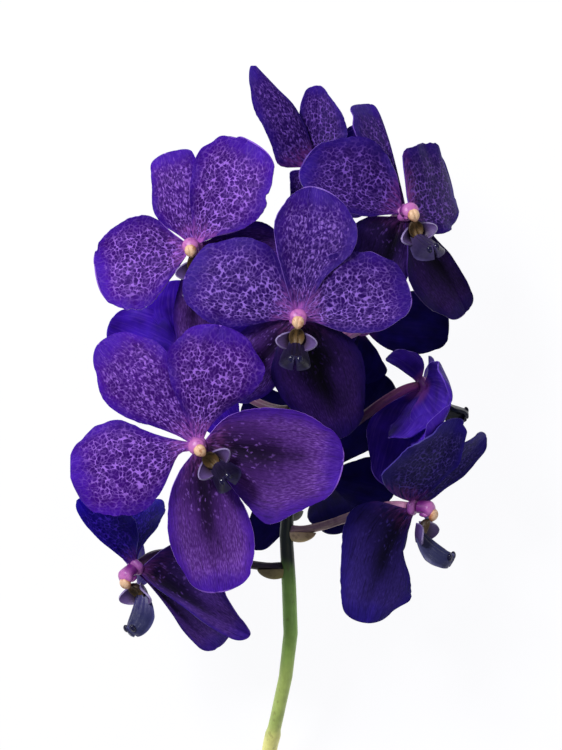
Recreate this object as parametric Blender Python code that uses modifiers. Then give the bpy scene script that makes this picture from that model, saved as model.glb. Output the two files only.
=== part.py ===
"""A cut spray of vanda orchid, lying on its back with the front blooms up.

The stalk runs along Y, with its cut foot at -Y. Z points up from the surface.
Lengths in the constants are millimetres, and MM turns them into metres.
"""
import math
from dataclasses import dataclass

import bmesh
import bpy
from mathutils import Matrix, Vector

MM = 0.001

# The table's point below the spray's middle
ORIGIN = (1.35, -2.8, 0.0)

# Blades
THICK = 0.7
STATIONS = (0.0, 0.12, 0.3, 0.5, 0.7, 0.87)
ROWS_FINE = (0.0, 0.13, 0.31, 0.5, 0.69, 0.85, 0.96)
ROWS_PLAIN = (0.0, 0.16, 0.38, 0.62, 0.83, 0.955)
COLS_FINE = (-1.0, -0.62, -0.24, 0.0, 0.24, 0.62, 1.0)
COLS_PLAIN = (-1.0, -0.5, 0.0, 0.5, 1.0)
CLAW = 2.2
GROOVE = 0.5

# The middle of a bloom
HUB_RADIUS = 3.4
HUB_HALF = 1.8
HUB_SIDES = 8
SEAT = 0.3
LAYER = 0.7

# The stalk and the pedicels
STEM_PATH = (
    (-5.6, -146.0, 2.4, 2.75),
    (-5.2, -134.0, 7.0, 2.65),
    (-4.3, -128.5, 10.6, 2.65),
    (-4.0, -127.0, 11.6, 2.95),
    (-3.0, -121.0, 15.5, 3.0),
    (-2.0, -116.5, 18.7, 3.1),
    (-1.6, -114.5, 20.1, 2.65),
    (-0.4, -109.0, 24.0, 2.6),
    (2.9, -93.0, 32.5, 2.65),
    (4.8, -76.0, 39.0, 2.8),
    (4.2, -58.0, 43.0, 2.8),
    (3.1, -38.0, 45.0, 2.6),
    (4.6, -14.0, 46.5, 2.3),
    (6.4, 16.0, 47.0, 2.1),
    (8.6, 46.0, 47.5, 1.9),
    (11.2, 70.0, 48.5, 1.7),
    (13.4, 82.0, 50.0, 1.5),
)
PEDICEL_RADIUS = 1.55
OVARY_RADIUS = 2.1
BRACT_RADII = (2.4, 2.0, 6.8)
BRACT_OUT = 3.1
BRACT_DOWN = 4.25
BRACT_TILT = -8.0

# The lip starts this far below the column's axis
LIP_TOP = 4.0

# Edges sharper than this stay sharp where a piece is shaded smooth
SHARP = math.radians(40.0)


@dataclass
class Tepal:
    """A sepal or a petal: its tip from the bloom's middle, and its half-widths at STATIONS."""

    tip: tuple
    left: tuple
    right: tuple
    arch: float = 3.0
    bend: float = 0.0
    cup: float = 2.0
    curl: float = 1.5
    wave: float = 0.6
    waves: float = 2.5
    phase: float = 0.0
    blunt: float = 2.0
    look: tuple = ()
    lift: float = 0.0
    fine: bool = False


@dataclass
class Bloom:
    """A bloom: its middle, the way it faces, the way its top sepal points, and where its pedicel starts."""

    name: str
    middle: tuple
    facing: tuple
    top: tuple
    root: float
    tepals: dict
    lip: float = 1.0


SEPAL = (1.5, 4.0, 7.5, 10.5, 11.0, 8.0)
PETAL = (1.5, 4.0, 9.5, 15.0, 16.0, 11.0)


def scaled(widths, factor):
    return tuple(round(w * factor, 2) for w in widths)


def sepal(tip, left, right, lift=-LAYER, **more):
    """A sepal grows from the back of the hub."""
    return Tepal(tip, left, right, lift=lift, **more)


def petal(tip, left, right, lift=LAYER, **more):
    """A petal grows in front of the sepals."""
    return Tepal(tip, left, right, lift=lift, **more)


BLOOMS = (
    Bloom(
        "a", middle=(-31.7, 71.9, 70.0), facing=(-0.18, 0.05, 1.0),
        top=(-0.2, 0.98, 0.0), root=46.0,
        tepals={
            "dorsal": sepal(
                (-11.5, 35.8, -4.0), (1.5, 4.5, 9.5, 10.5, 8.5, 7.0), (1.5, 2.5, 5.5, 8.5, 11.0, 10.5),
                cup=-1.5, blunt=4.0, fine=True,
            ),
            "petal_r": petal(
                (20.0, 40.5, 5.0), (1.5, 4.0, 8.5, 12.5, 14.0, 10.5), (1.5, 6.0, 15.0, 19.0, 17.5, 15.0),
                phase=0.8, wave=1.0, blunt=2.3, fine=True,
            ),
            "petal_l": petal(
                (-38.3, -6.8, -5.0), (1.5, 6.5, 14.0, 19.5, 19.5, 16.0),
                (1.5, 6.0, 14.0, 15.0, 13.0, 8.5),
                phase=2.0, wave=1.0, fine=True,
            ),
            "lat_r": sepal(
                (35.5, -1.5, -7.0), (1.5, 3.5, 7.5, 10.3, 10.8, 7.5), (1.5, 6.0, 11.5, 14.0, 13.5, 10.5),
                cup=-1.0,
            ),
            "lat_l": sepal(
                (0.0, -41.0, -10.0), (1.5, 4.0, 7.0, 9.0, 9.5, 7.5), (1.5, 3.0, 5.5, 7.5, 8.0, 7.0),
                cup=-1.0,
            ),
        },
    ),
    Bloom(
        "b", middle=(7.4, 44.8, 92.0), facing=(0.02, 0.05, 1.0),
        top=(0.08, 0.99, 0.0), root=22.0,
        tepals={
            "dorsal": sepal(
                (5.2, 48.9, 1.0), (1.5, 4.0, 7.5, 11.0, 12.5, 9.0), (1.5, 4.5, 8.5, 17.0, 18.5, 13.5),
                cup=2.2, wave=0.4, fine=True,
            ),
            "petal_l": petal(
                (-42.3, 15.0, 1.0), (1.5, 3.5, 8.0, 12.0, 12.5, 9.5), (2.0, 9.0, 19.5, 22.5, 20.5, 16.0),
                cup=-2.0, phase=1.1, wave=0.8, fine=True,
            ),
            "petal_r": petal(
                (42.3, 8.2, -1.0), (1.5, 9.0, 20.0, 20.5, 19.0, 14.5), (1.5, 3.5, 8.0, 10.5, 10.5, 7.5),
                phase=0.3, cup=1.6, wave=0.8, fine=True,
            ),
            "lat_l": sepal(
                (-26.0, -30.5, -14.0), (1.5, 4.0, 7.0, 9.5, 10.0, 7.0), (2.5, 7.5, 12.0, 13.0, 11.5, 7.5),
                cup=-1.0,
            ),
            "lat_r": sepal(
                (17.5, -45.0, -12.0), (2.5, 10.5, 16.5, 17.0, 14.0, 10.5),
                (3.5, 11.5, 17.0, 16.5, 13.0, 8.0),
                cup=-2.5, wave=0.4, fine=True,
            ),
        },
    ),
    Bloom(
        "c", middle=(-29.9, -2.5, 88.0), facing=(-0.06, -0.05, 1.0),
        top=(-0.7, 0.71, 0.0), root=-14.0,
        tepals={
            "dorsal": sepal(
                (-37.4, 37.8, -3.0), (1.5, 3.2, 7.5, 12.5, 13.3, 8.0), (1.5, 4.0, 9.0, 15.0, 16.3, 11.8),
                cup=-1.5, blunt=2.2, fine=True,
            ),
            "petal_r": petal(
                (8.4, 44.3, 9.0), (1.5, 4.5, 10.5, 15.5, 17.5, 13.0), (1.5, 3.0, 8.5, 17.0, 19.5, 13.5),
                cup=-2.0, phase=0.5, wave=0.9, fine=True,
            ),
            "petal_l": petal(
                (-48.2, -10.8, -2.0), (1.5, 2.0, 13.5, 20.0, 19.5, 16.5),
                (1.5, 4.0, 8.5, 15.5, 15.5, 10.8),
                phase=2.2, cup=-2.0, wave=0.9, fine=True,
            ),
            "lat_r": sepal(
                (54.3, -5.6, 2.0), (1.5, 10.5, 15.5, 17.0, 16.0, 11.5),
                (1.5, 7.5, 18.0, 26.5, 21.5, 16.0),
                cup=1.5, wave=0.5, fine=True,
            ),
            "lat_l": sepal(
                (7.4, -55.5, -6.0), (1.5, 6.5, 12.0, 15.8, 16.4, 13.5),
                (1.5, 8.0, 13.2, 15.2, 14.2, 10.5),
                cup=2.0, wave=0.4, fine=True,
            ),
        },
    ),
    Bloom(
        "d", middle=(47.5, 84.7, 72.0), facing=(0.32, 0.1, 1.0),
        top=(-0.34, 0.94, 0.1), root=60.0,
        tepals={
            "dorsal": sepal(
                (-11.3, 42.5, -12.0), (1.5, 3.5, 6.5, 10.0, 15.5, 13.5), (1.5, 1.2, 1.0, 1.0, 1.2, 1.6),
                cup=0.5, blunt=4.0, look=(0.65, 0.1, 0.75), fine=True,
            ),
            "petal_l": petal(
                (-39.0, 16.0, 10.0), (1.5, 4.0, 8.0, 9.5, 9.0, 7.0), (2.0, 9.0, 17.5, 20.5, 18.0, 13.0),
                phase=0.6, wave=0.8, fine=True,
            ),
            "petal_r": petal(
                (21.7, 7.0, -27.0), (5.5, 21.0, 23.3, 23.8, 22.6, 18.0), (1.5, 7.0, 11.0, 11.5, 9.5, 6.0),
                phase=1.6, cup=0.5, wave=0.9, arch=4.0, blunt=3.0, look=(0.83, 0.2, 0.49), fine=True,
            ),
            "lat_r": sepal(
                (25.4, -37.0, -20.0), (1.5, 4.0, 4.4, 5.6, 5.6, 5.0), (1.5, 5.5, 12.5, 15.5, 14.0, 9.5),
                cup=2.0, blunt=2.6, fine=True,
            ),
            "lat_l": sepal(
                (-12.0, -32.5, -2.0), (1.5, 4.5, 7.5, 9.5, 10.0, 8.0), (2.0, 13.0, 17.0, 15.0, 11.5, 7.5),
                cup=-1.0,
            ),
        },
    ),
    Bloom(
        "e", middle=(15.2, 103.2, 56.0), facing=(0.15, 0.2, -0.95),
        top=(-0.5, 0.8, 0.1), root=82.0, lip=0.8,
        tepals={
            "dorsal": sepal(
                (-24.3, 38.6, 8.0), (4.0, 12.0, 11.0, 9.8, 8.8, 5.5), (1.5, 2.0, 4.0, 4.5, 2.5, 1.0),
                cup=-3.0, blunt=1.2, look=(0.1, 0.3, 0.95),
            ),
            "petal_l": petal(
                (-9.5, -17.0, -2.0), (1.0, 2.5, 5.0, 6.0, 6.0, 4.5), (1.0, 4.0, 8.0, 6.0, 4.0, 3.0),
                look=(0.1, 0.3, 0.95),
            ),
            "petal_r": petal(
                (0.4, 31.5, -5.0), (1.5, 3.5, 7.5, 7.5, 7.0, 5.5), (1.5, 5.0, 11.0, 10.0, 7.0, 3.5),
                look=(0.0, 0.2, 0.95),
            ),
            "lat_r": sepal((26.0, 12.0, -8.0), scaled(SEPAL, 0.8), scaled(SEPAL, 0.8), cup=-1.0),
            "lat_l": sepal((19.0, -17.0, -4.0), scaled(SEPAL, 0.75), scaled(SEPAL, 0.75), cup=-1.0),
        },
    ),
    Bloom(
        "f", middle=(51.2, -26.6, 58.0), facing=(0.9, -0.1, 0.4),
        top=(0.0, 0.95, 0.2), root=-36.0, lip=1.1,
        tepals={
            "dorsal": sepal(
                (29.7, 25.6, -14.0), (1.5, 3.5, 6.0, 9.0, 10.2, 8.2), (1.5, 4.0, 5.0, 5.5, 5.5, 4.5),
                arch=0.5, lift=-1.0,
            ),
            "petal_l": petal(
                (18.0, 33.0, 15.0), (1.5, 17.0, 24.5, 22.5, 16.5, 11.5), (1.2, 2.2, 4.8, 7.0, 6.5, 5.0),
                wave=0.9, look=(0.55, -0.2, 0.75), lift=0.3, fine=True,
            ),
            "petal_r": petal((8.5, 6.0, -40.0), scaled(PETAL, 0.9), scaled(PETAL, 0.9)),
            "lat_r": sepal((-16.5, -33.0, -17.0), scaled(SEPAL, 0.6), SEPAL),
            "lat_l": sepal(
                (-17.4, -43.2, 14.0), (1.5, 3.2, 6.3, 14.0, 17.2, 10.5),
                (1.5, 13.5, 20.3, 18.3, 14.4, 11.0),
                bend=-8.0, cup=-2.0, blunt=3.0, look=(0.35, -0.15, 0.92), lift=-0.3, fine=True,
            ),
        },
    ),
    Bloom(
        "g", middle=(55.0, 19.8, 50.0), facing=(0.8, 0.15, -0.45),
        top=(-0.6, 0.75, -0.2), root=-4.0, lip=0.85,
        tepals={
            "dorsal": sepal(
                (-13.8, 11.5, 6.0), (1.5, 5.0, 7.0, 6.5, 5.5, 4.0), (1.5, 1.5, 1.8, 2.0, 2.2, 2.0),
                look=(0.4, 0.1, -0.9),
            ),
            "petal_l": petal(
                (11.5, -6.5, 30.0), (1.5, 9.0, 20.0, 25.0, 25.0, 19.0), (1.5, 4.5, 9.0, 12.0, 12.0, 9.0),
                cup=-7.0, look=(0.97, -0.19, -0.2), fine=True,
            ),
            "petal_r": petal((6.0, -1.0, -35.0), scaled(PETAL, 0.72), scaled(PETAL, 0.72)),
            "lat_l": sepal(
                (-13.5, -38.5, -6.0), (1.5, 6.0, 12.0, 15.0, 12.0, 8.0), (1.5, 4.0, 6.0, 6.0, 5.0, 4.0),
                cup=-2.0, look=(0.3, 0.0, -0.95),
            ),
            "lat_r": sepal(
                (-10.0, -21.0, 13.0), (1.5, 3.5, 6.5, 9.0, 9.0, 6.5), (1.5, 3.5, 6.5, 8.0, 8.0, 6.0),
                look=(0.6, -0.1, -0.7),
            ),
        },
    ),
    Bloom(
        "h", middle=(-54.4, -49.8, 50.0), facing=(-0.55, -0.5, 0.67),
        top=(-0.1, 0.88, 0.0), root=-50.3, lip=1.1,
        tepals={
            "dorsal": sepal(
                (4.0, 26.0, -14.0), (1.5, 4.0, 8.0, 10.5, 10.5, 8.0), (1.5, 2.0, 5.0, 9.5, 10.5, 8.5),
                look=(-0.4, -0.2, 0.9),
            ),
            "petal_l": petal(
                (-22.0, 25.5, 10.0), (1.0, 1.2, 2.0, 2.8, 3.2, 2.8), (1.5, 6.0, 12.0, 15.0, 14.0, 9.0),
                wave=0.9, look=(-0.3, -0.2, 0.93),
            ),
            "petal_r": petal((-1.0, 9.0, -38.0), scaled(PETAL, 0.85), scaled(PETAL, 0.85)),
            "lat_l": sepal(
                (43.3, -26.0, 8.0), (1.5, 15.5, 21.5, 18.0, 10.0, 4.8), (1.5, 2.5, 3.0, 3.5, 4.5, 4.5),
                look=(-0.2, -0.2, 0.95),
            ),
            "lat_r": sepal(
                (30.5, -33.0, -14.0), (1.5, 4.0, 7.0, 9.5, 12.0, 11.0), (1.5, 1.0, 1.2, 2.2, 3.8, 4.2),
                look=(-0.3, -0.2, 0.9),
            ),
        },
    ),
    Bloom(
        "i", middle=(-37.4, 32.5, 22.0), facing=(-0.35, 0.2, -0.9),
        top=(-0.9, 0.4, 0.3), root=10.0, lip=0.8,
        tepals={
            "dorsal": sepal(
                (-28.5, 11.0, 0.0), (1.5, 5.0, 10.0, 11.5, 10.5, 7.5), (1.5, 6.5, 11.5, 13.0, 11.5, 8.0),
            ),
            "petal_l": petal(
                (-17.0, -25.0, -24.5), scaled(PETAL, 0.75), scaled(PETAL, 0.75),
                curl=4.5, cup=-2.5, wave=0.0,
            ),
            "petal_r": petal((-2.0, 28.0, -4.0), scaled(PETAL, 0.75), scaled(PETAL, 0.75)),
            "lat_l": sepal(
                (18.5, -31.5, -12.0), scaled(SEPAL, 0.9), scaled(SEPAL, 0.9),
                cup=-1.0, blunt=3.0,
            ),
            "lat_r": sepal((27.0, 11.0, -14.0), scaled(SEPAL, 0.9), scaled(SEPAL, 0.9), cup=-1.0),
        },
    ),
    Bloom(
        "j", middle=(17.5, -15.5, 19.0), facing=(0.05, 0.1, -1.0),
        top=(0.9, -0.2, 0.0), root=-28.0, lip=0.8,
        tepals={
            "dorsal": sepal((28.0, -6.0, -5.0), scaled(SEPAL, 0.95), scaled(SEPAL, 0.95)),
            "petal_l": petal(
                (24.5, 38.5, -14.0), scaled(PETAL, 0.85), (1.5, 4.0, 9.0, 14.5, 15.0, 11.0),
                blunt=2.6,
            ),
            "petal_r": petal(
                (7.5, -20.5, -22.9), scaled(PETAL, 0.7), scaled(PETAL, 0.5),
                cup=-2.5, curl=4.5, wave=0.0,
            ),
            "lat_l": sepal((-29.0, 31.0, -6.0), scaled(SEPAL, 1.1), scaled(SEPAL, 1.1), cup=-1.0),
            "lat_r": sepal(
                (-27.5, -28.5, -10.0), scaled(SEPAL, 0.95), (1.5, 1.5, 1.6, 2.8, 4.6, 4.5),
                cup=-1.0,
            ),
        },
    ),
    Bloom(
        "k", middle=(33.0, 42.0, 22.0), facing=(0.3, 0.15, -0.95),
        top=(0.95, 0.1, 0.3), root=34.0, lip=0.8,
        tepals={
            "dorsal": sepal(
                (33.2, -3.5, 5.0), (1.5, 5.0, 8.0, 9.0, 8.0, 5.5), (1.5, 8.0, 14.0, 16.0, 15.0, 12.0),
            ),
            "petal_l": petal(
                (6.0, 31.0, -25.3), scaled(PETAL, 0.75), scaled(PETAL, 0.75),
                curl=4.5, cup=-2.5, wave=0.0,
            ),
            "petal_r": petal(
                (-7.0, -23.0, -10.0), (1.0, 1.5, 4.0, 9.0, 11.0, 8.0), (1.0, 4.0, 9.0, 13.5, 11.5, 6.5),
            ),
            "lat_l": sepal((-23.0, 16.0, -7.0), scaled(SEPAL, 0.9), scaled(SEPAL, 0.9), cup=-1.0),
            "lat_r": sepal(
                (-24.0, -11.0, -8.0), scaled(SEPAL, 0.85), scaled(SEPAL, 0.85),
                cup=-1.0,
            ),
        },
    ),
)


def half_width(widths, t, blunt):
    """Half-width at t: smooth through the stations, then off to a tip, the squarer the blunter."""
    last = len(STATIONS) - 1
    if t >= STATIONS[last]:
        span = 1.0 - STATIONS[last]
        s = min(1.0, (t - STATIONS[last]) / span)
        slope = (widths[last] - widths[last - 1]) / (STATIONS[last] - STATIONS[last - 1])
        return (widths[last] + 0.5 * slope * span * s) * (1.0 - s**blunt)**0.5
    k = max(i for i in range(last) if STATIONS[i] <= t)
    slopes = []
    for i in (k, k + 1):
        low, high = max(0, i - 1), min(last, i + 1)
        slopes.append((widths[high] - widths[low]) / (STATIONS[high] - STATIONS[low]))
    span = STATIONS[k + 1] - STATIONS[k]
    s = (t - STATIONS[k]) / span
    return ((2 * s**3 - 3 * s**2 + 1) * widths[k] + (s**3 - 2 * s**2 + s) * span * slopes[0]
            + (3 * s**2 - 2 * s**3) * widths[k + 1] + (s**3 - s**2) * span * slopes[1])


def blade_point(bloom, tepal, t, v):
    """A point of the blade's middle surface: t runs from hub to tip, v from right (-1) to left (1)."""
    face = Vector(bloom.facing).normalized()
    tip = Vector(tepal.tip)
    flat = (tip - face * tip.dot(face)).normalized()
    start = flat * CLAW + face * tepal.lift
    look = Vector(tepal.look) if tepal.look else face
    side = look.cross(tip - start).normalized()
    normal = (tip - start).cross(side).normalized()
    reach = t + (1.0 - t) * (1.0 - v * v) * max(0.0, (t - 0.9) / 0.1) * (t > 0.9)
    middle = (start + tip) / 2 + normal * tepal.arch + side * tepal.bend
    spine = start * (1 - reach)**2 + middle * 2 * reach * (1 - reach) + tip * reach**2
    run = ((middle - start) * (1 - reach) + (tip - middle) * reach).normalized()
    across = (side - run * side.dot(run)).normalized()
    out = run.cross(across)
    widths = tepal.left if v > 0 else tepal.right
    wide = half_width(widths, t, tepal.blunt)
    share = min(1.0, wide / 10.0)
    height = tepal.cup * v * v * share
    height += tepal.wave * share * v**2 * math.sin(2 * math.pi * tepal.waves * t + tepal.phase + 1.3 * v)
    height -= tepal.curl * max(0.0, reach - 0.6)**2 / 0.16
    height -= GROOVE * max(0.0, 1.0 - abs(v) / 0.24) * share
    return (Vector(bloom.middle) + spine + across * v * wide + out * height) * MM


def new_object(name, mesh, collection):
    obj = bpy.data.objects.new(name, mesh)
    collection.objects.link(obj)
    return obj


def blade(name, bloom, tepal, collection):
    """A grid moved onto the blade's surface, split into triangles and given its thickness."""
    rows = ROWS_FINE if tepal.fine else ROWS_PLAIN
    cols = COLS_FINE if tepal.fine else COLS_PLAIN
    mesh = bpy.data.meshes.new(name)
    shape = bmesh.new()
    bmesh.ops.create_grid(shape, x_segments=len(cols) - 1, y_segments=len(rows) - 1, size=1.0)
    for vert in shape.verts:
        i = round((vert.co.x + 1) / 2 * (len(cols) - 1))
        j = round((vert.co.y + 1) / 2 * (len(rows) - 1))
        vert.co = blade_point(bloom, tepal, rows[j], -cols[i])
    bmesh.ops.triangulate(shape, faces=shape.faces[:])
    shape.to_mesh(mesh)
    shape.free()
    obj = new_object(name, mesh, collection)
    solid = obj.modifiers.new("thickness", "SOLIDIFY")
    solid.thickness = THICK * MM
    solid.offset = 0.0
    return obj


def axes(bloom):
    """The bloom's own frame: X to its right, Y to its top sepal, Z the way it faces."""
    face = Vector(bloom.facing).normalized()
    top = Vector(bloom.top)
    top = (top - face * top.dot(face)).normalized()
    right = top.cross(face)
    turn = Matrix((right, top, face)).transposed().to_4x4()
    return Matrix.Translation(Vector(bloom.middle) * MM) @ turn


def ellipsoid(name, centre, radii, collection, parts, tilt=0.0):
    """An ellipsoid of (segments, rings) in a bloom's own frame, tilted about X in degrees."""
    mesh = bpy.data.meshes.new(name)
    shape = bmesh.new()
    bmesh.ops.create_uvsphere(shape, u_segments=parts[0], v_segments=parts[1], radius=1.0)
    size = Matrix.Diagonal((*(Vector(radii) * MM), 1.0))
    turn = Matrix.Rotation(math.radians(tilt), 4, "X")
    shape.transform(Matrix.Translation(Vector(centre) * MM) @ turn @ size)
    bmesh.ops.triangulate(shape, faces=shape.faces[:])
    shape.to_mesh(mesh)
    shape.free()
    return new_object(name, mesh, collection)


def frustum(name, centre, radii, height, collection):
    """A cone's slice in a bloom's own frame."""
    mesh = bpy.data.meshes.new(name)
    shape = bmesh.new()
    bmesh.ops.create_cone(
        shape, cap_ends=True, cap_tris=False, segments=HUB_SIDES,
        radius1=radii[0] * MM, radius2=radii[1] * MM, depth=height * MM,
    )
    shape.transform(Matrix.Translation(Vector(centre) * MM))
    shape.to_mesh(mesh)
    shape.free()
    return new_object(name, mesh, collection)


def joined(name, pieces, into, scratch):
    """One body of the pieces, which all cross the first: a union with the rest of them."""
    first, rest = pieces[0], pieces[1:]
    group = bpy.data.collections.new(name + "_pieces")
    scratch.children.link(group)
    for piece in rest:
        group.objects.link(piece)
        scratch.objects.unlink(piece)
    union = first.modifiers.new("union", "BOOLEAN")
    union.operation = "UNION"
    union.operand_type = "COLLECTION"
    union.collection = group
    union.solver = "MANIFOLD"
    graph = bpy.context.evaluated_depsgraph_get()
    mesh = bpy.data.meshes.new_from_object(first.evaluated_get(graph))
    mesh.name = name
    for piece in pieces:
        bpy.data.objects.remove(piece)
    bpy.data.collections.remove(group)
    return new_object(name, mesh, into)


def cut_level(obj, ground):
    """Cuts off what would reach below the surface, which leaves small flat spots."""
    if min(v.co.z for v in obj.data.vertices) >= 0.0:
        return
    cut = obj.modifiers.new("level", "BOOLEAN")
    cut.operation = "DIFFERENCE"
    cut.object = ground
    cut.solver = "MANIFOLD"


def stem_at(y):
    """Centre and radius of the stalk where it passes y."""
    for low, high in zip(STEM_PATH, STEM_PATH[1:]):
        if low[1] <= y <= high[1]:
            share = (y - low[1]) / (high[1] - low[1])
            point = Vector(low[:3]).lerp(Vector(high[:3]), share)
            return point, low[3] + (high[3] - low[3]) * share
    return Vector(STEM_PATH[-1][:3]), STEM_PATH[-1][3]


def tube(name, points, resolution, collection):
    """A round tube through (x, y, z, radius) points, as a closed mesh."""
    curve = bpy.data.curves.new(name, "CURVE")
    curve.dimensions = "3D"
    curve.bevel_depth = MM
    curve.bevel_resolution = resolution
    curve.use_fill_caps = True
    spline = curve.splines.new("POLY")
    spline.points.add(len(points) - 1)
    for point, (x, y, z, radius) in zip(spline.points, points):
        point.co = (x * MM, y * MM, z * MM, 1.0)
        point.radius = radius
    helper = bpy.data.objects.new(name + "_path", curve)
    collection.objects.link(helper)
    graph = bpy.context.evaluated_depsgraph_get()
    mesh = bpy.data.meshes.new_from_object(helper.evaluated_get(graph))
    mesh.name = name
    bpy.data.objects.remove(helper)
    shape = bmesh.new()
    shape.from_mesh(mesh)
    bmesh.ops.remove_doubles(shape, verts=shape.verts[:], dist=0.00001)
    bmesh.ops.recalc_face_normals(shape, faces=shape.faces[:])
    bmesh.ops.triangulate(shape, faces=shape.faces[:])
    shape.to_mesh(mesh)
    shape.free()
    return new_object(name, mesh, collection)


def pedicel_ends(bloom):
    """Where the pedicel leaves the stalk, its way out, and where it meets the hub's back."""
    face = Vector(bloom.facing).normalized()
    back = Vector(bloom.middle) - face * (HUB_HALF + SEAT)
    root, radius = stem_at(bloom.root)
    out = back - root
    out.y = 0.0
    out.normalize()
    return root + out * (radius + SEAT), out, back, face


def pedicel(bloom, collection):
    start, out, back, face = pedicel_ends(bloom)
    reach = (back - start).length
    first = start + out * 0.35 * reach
    second = back - face * 0.35 * reach
    points = [(*start, PEDICEL_RADIUS), (*(start + out), PEDICEL_RADIUS)]
    begin, end = start + out, back - face * 1.2
    steps = 5
    for k in range(1, steps + 1):
        t = k / steps
        point = (begin * (1 - t)**3 + first * 3 * t * (1 - t)**2
                 + second * 3 * t * t * (1 - t) + end * t**3)
        swell = PEDICEL_RADIUS + (OVARY_RADIUS - PEDICEL_RADIUS) * t
        points.append((*point, swell))
    points.append((*back, PEDICEL_RADIUS))
    return tube(f"bloom_{bloom.name}_pedicel", points, 1, collection)


def tepals(bloom, into, scratch):
    hub = frustum("hub", (0.0, 0.0, 0.0), (HUB_RADIUS, HUB_RADIUS), 2 * HUB_HALF, scratch)
    hub.data.transform(axes(bloom))
    blades = [blade(key, bloom, tepal, scratch) for key, tepal in bloom.tepals.items()]
    return joined(f"bloom_{bloom.name}_tepals", [hub, *blades], into, scratch)


def column(bloom, into, scratch):
    """A short stout body that leans to the lip, with the anther cap at its end."""
    base = HUB_HALF + SEAT
    pieces = [
        frustum("body", (0.0, 0.0, base + 2.5), (2.4, 3.2), 5.0, scratch),
        ellipsoid("hood", (0.0, 0.3, base + 4.3), (3.8, 3.6, 2.8), scratch, (8, 4)),
        ellipsoid("cap", (0.0, -2.0, base + 6.4), (2.4, 2.5, 2.0), scratch, (6, 4)),
    ]
    obj = joined(f"bloom_{bloom.name}_column", pieces, into, scratch)
    obj.data.transform(axes(bloom))
    return obj


def lip(bloom, into, scratch):
    """The lip below the column: throat, two side lobes and the midlobe that stands forward."""
    base = HUB_HALF + SEAT
    size = bloom.lip
    lobe = (1.9 * size, 3.8 * size, 2.6)
    lobe_y = -LIP_TOP - 3.2 * size
    lobe_z = base + 2.9
    throat = ((0.0, -LIP_TOP - 3.4 * size, base + 2.9), (3.0 * size, 3.6 * size, 2.4))
    middle = ((0.0, -LIP_TOP - 8.8 * size, base + 7.4 * size), (6.0 * size, 7.6 * size, 1.5 * size))
    pieces = [
        ellipsoid("throat", *throat, scratch, (8, 4), tilt=18.0),
        ellipsoid("side_l", (-4.2 * size, lobe_y, lobe_z), lobe, scratch, (6, 4), tilt=10.0),
        ellipsoid("side_r", (4.2 * size, lobe_y, lobe_z), lobe, scratch, (6, 4), tilt=10.0),
        ellipsoid("mid", *middle, scratch, (8, 5), tilt=-58.0),
    ]
    obj = joined(f"bloom_{bloom.name}_lip", pieces, into, scratch)
    obj.data.transform(axes(bloom))
    return obj


def bract(bloom, scratch):
    """The small scale that holds a pedicel from below, with its root sunk in the stalk."""
    start, out, _, _ = pedicel_ends(bloom)
    along = Vector((0.0, 1.0, 0.0))
    down = (out * out.dot(along) - along).normalized()
    turn = Matrix((down.cross(out), down, out)).transposed().to_4x4()
    place = Matrix.Translation((start + out * BRACT_OUT + down * BRACT_DOWN) * MM)
    scale = ellipsoid("bract", (0.0, 0.0, 0.0), BRACT_RADII, scratch, (6, 4), tilt=BRACT_TILT)
    scale.data.transform(place @ turn)
    return scale


def stem(into, scratch):
    pieces = [tube("stalk", STEM_PATH, 3, scratch)]
    pieces += [bract(bloom, scratch) for bloom in BLOOMS]
    return joined("stem", pieces, into, scratch)


def material(name, colour, roughness):
    made = bpy.data.materials.new(name)
    made.use_nodes = True
    shader = made.node_tree.nodes["Principled BSDF"]
    shader.inputs["Base Color"].default_value = (*colour, 1.0)
    shader.inputs["Roughness"].default_value = roughness
    shader.inputs["Metallic"].default_value = 0.0
    return made


def slab(cutters):
    """What lies below the surface, as a cutter."""
    mesh = bpy.data.meshes.new("ground")
    shape = bmesh.new()
    bmesh.ops.create_cube(shape, size=1.0)
    depth = 0.1
    shape.transform(Matrix.Translation((0.0, 0.0, -depth / 2)) @ Matrix.Diagonal((1.0, 1.0, depth, 1.0)))
    shape.to_mesh(mesh)
    shape.free()
    ground = new_object("ground", mesh, cutters)
    ground.hide_render = True
    ground.display_type = "WIRE"
    return ground


def main():
    for obj in list(bpy.data.objects):
        bpy.data.objects.remove(obj)
    scene = bpy.context.scene.collection
    spray = bpy.data.collections.new("vanda_orchid")
    cutters = bpy.data.collections.new("cutters")
    scratch = bpy.data.collections.new("scratch")
    for group in (spray, cutters, scratch):
        scene.children.link(group)

    ground = slab(cutters)
    looks = {
        "tepals": material("violet_tepal", (0.06, 0.02, 0.22), 0.5),
        "column": material("pink_column", (0.75, 0.35, 0.55), 0.45),
        "lip": material("lilac_lip", (0.3, 0.28, 0.5), 0.45),
        "pedicel": material("mauve_pedicel", (0.45, 0.22, 0.33), 0.5),
        "stem": material("green_stem", (0.3, 0.38, 0.12), 0.5),
    }
    made = [stem(spray, scratch)]
    for bloom in BLOOMS:
        made.append(tepals(bloom, spray, scratch))
        made.append(column(bloom, spray, scratch))
        made.append(lip(bloom, spray, scratch))
        made.append(pedicel(bloom, spray))
    for obj in made:
        obj.data.materials.clear()
        obj.data.materials.append(looks[obj.name.split("_")[-1]])
        obj.data.transform(Matrix.Translation(-Vector(ORIGIN) * MM))
        obj.data.shade_smooth()
        obj.data.set_sharp_from_angle(angle=SHARP)
        cut_level(obj, ground)
    bpy.data.collections.remove(scratch)


if __name__ == "__main__":
    main()
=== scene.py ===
"""The looks of a cut spray of vanda orchid, lying on its back with the front blooms up.

The stalk runs along Y, with its cut foot at -Y, and Z points up from the surface.
Lengths are millimetres in this script's values, and MM turns them into metres.
Colours are display colours of 0 to 255, and tint makes them linear.
"""

import logging
import math
from collections.abc import Callable
from dataclasses import dataclass
from enum import Enum
from functools import partial
from typing import Any

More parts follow.
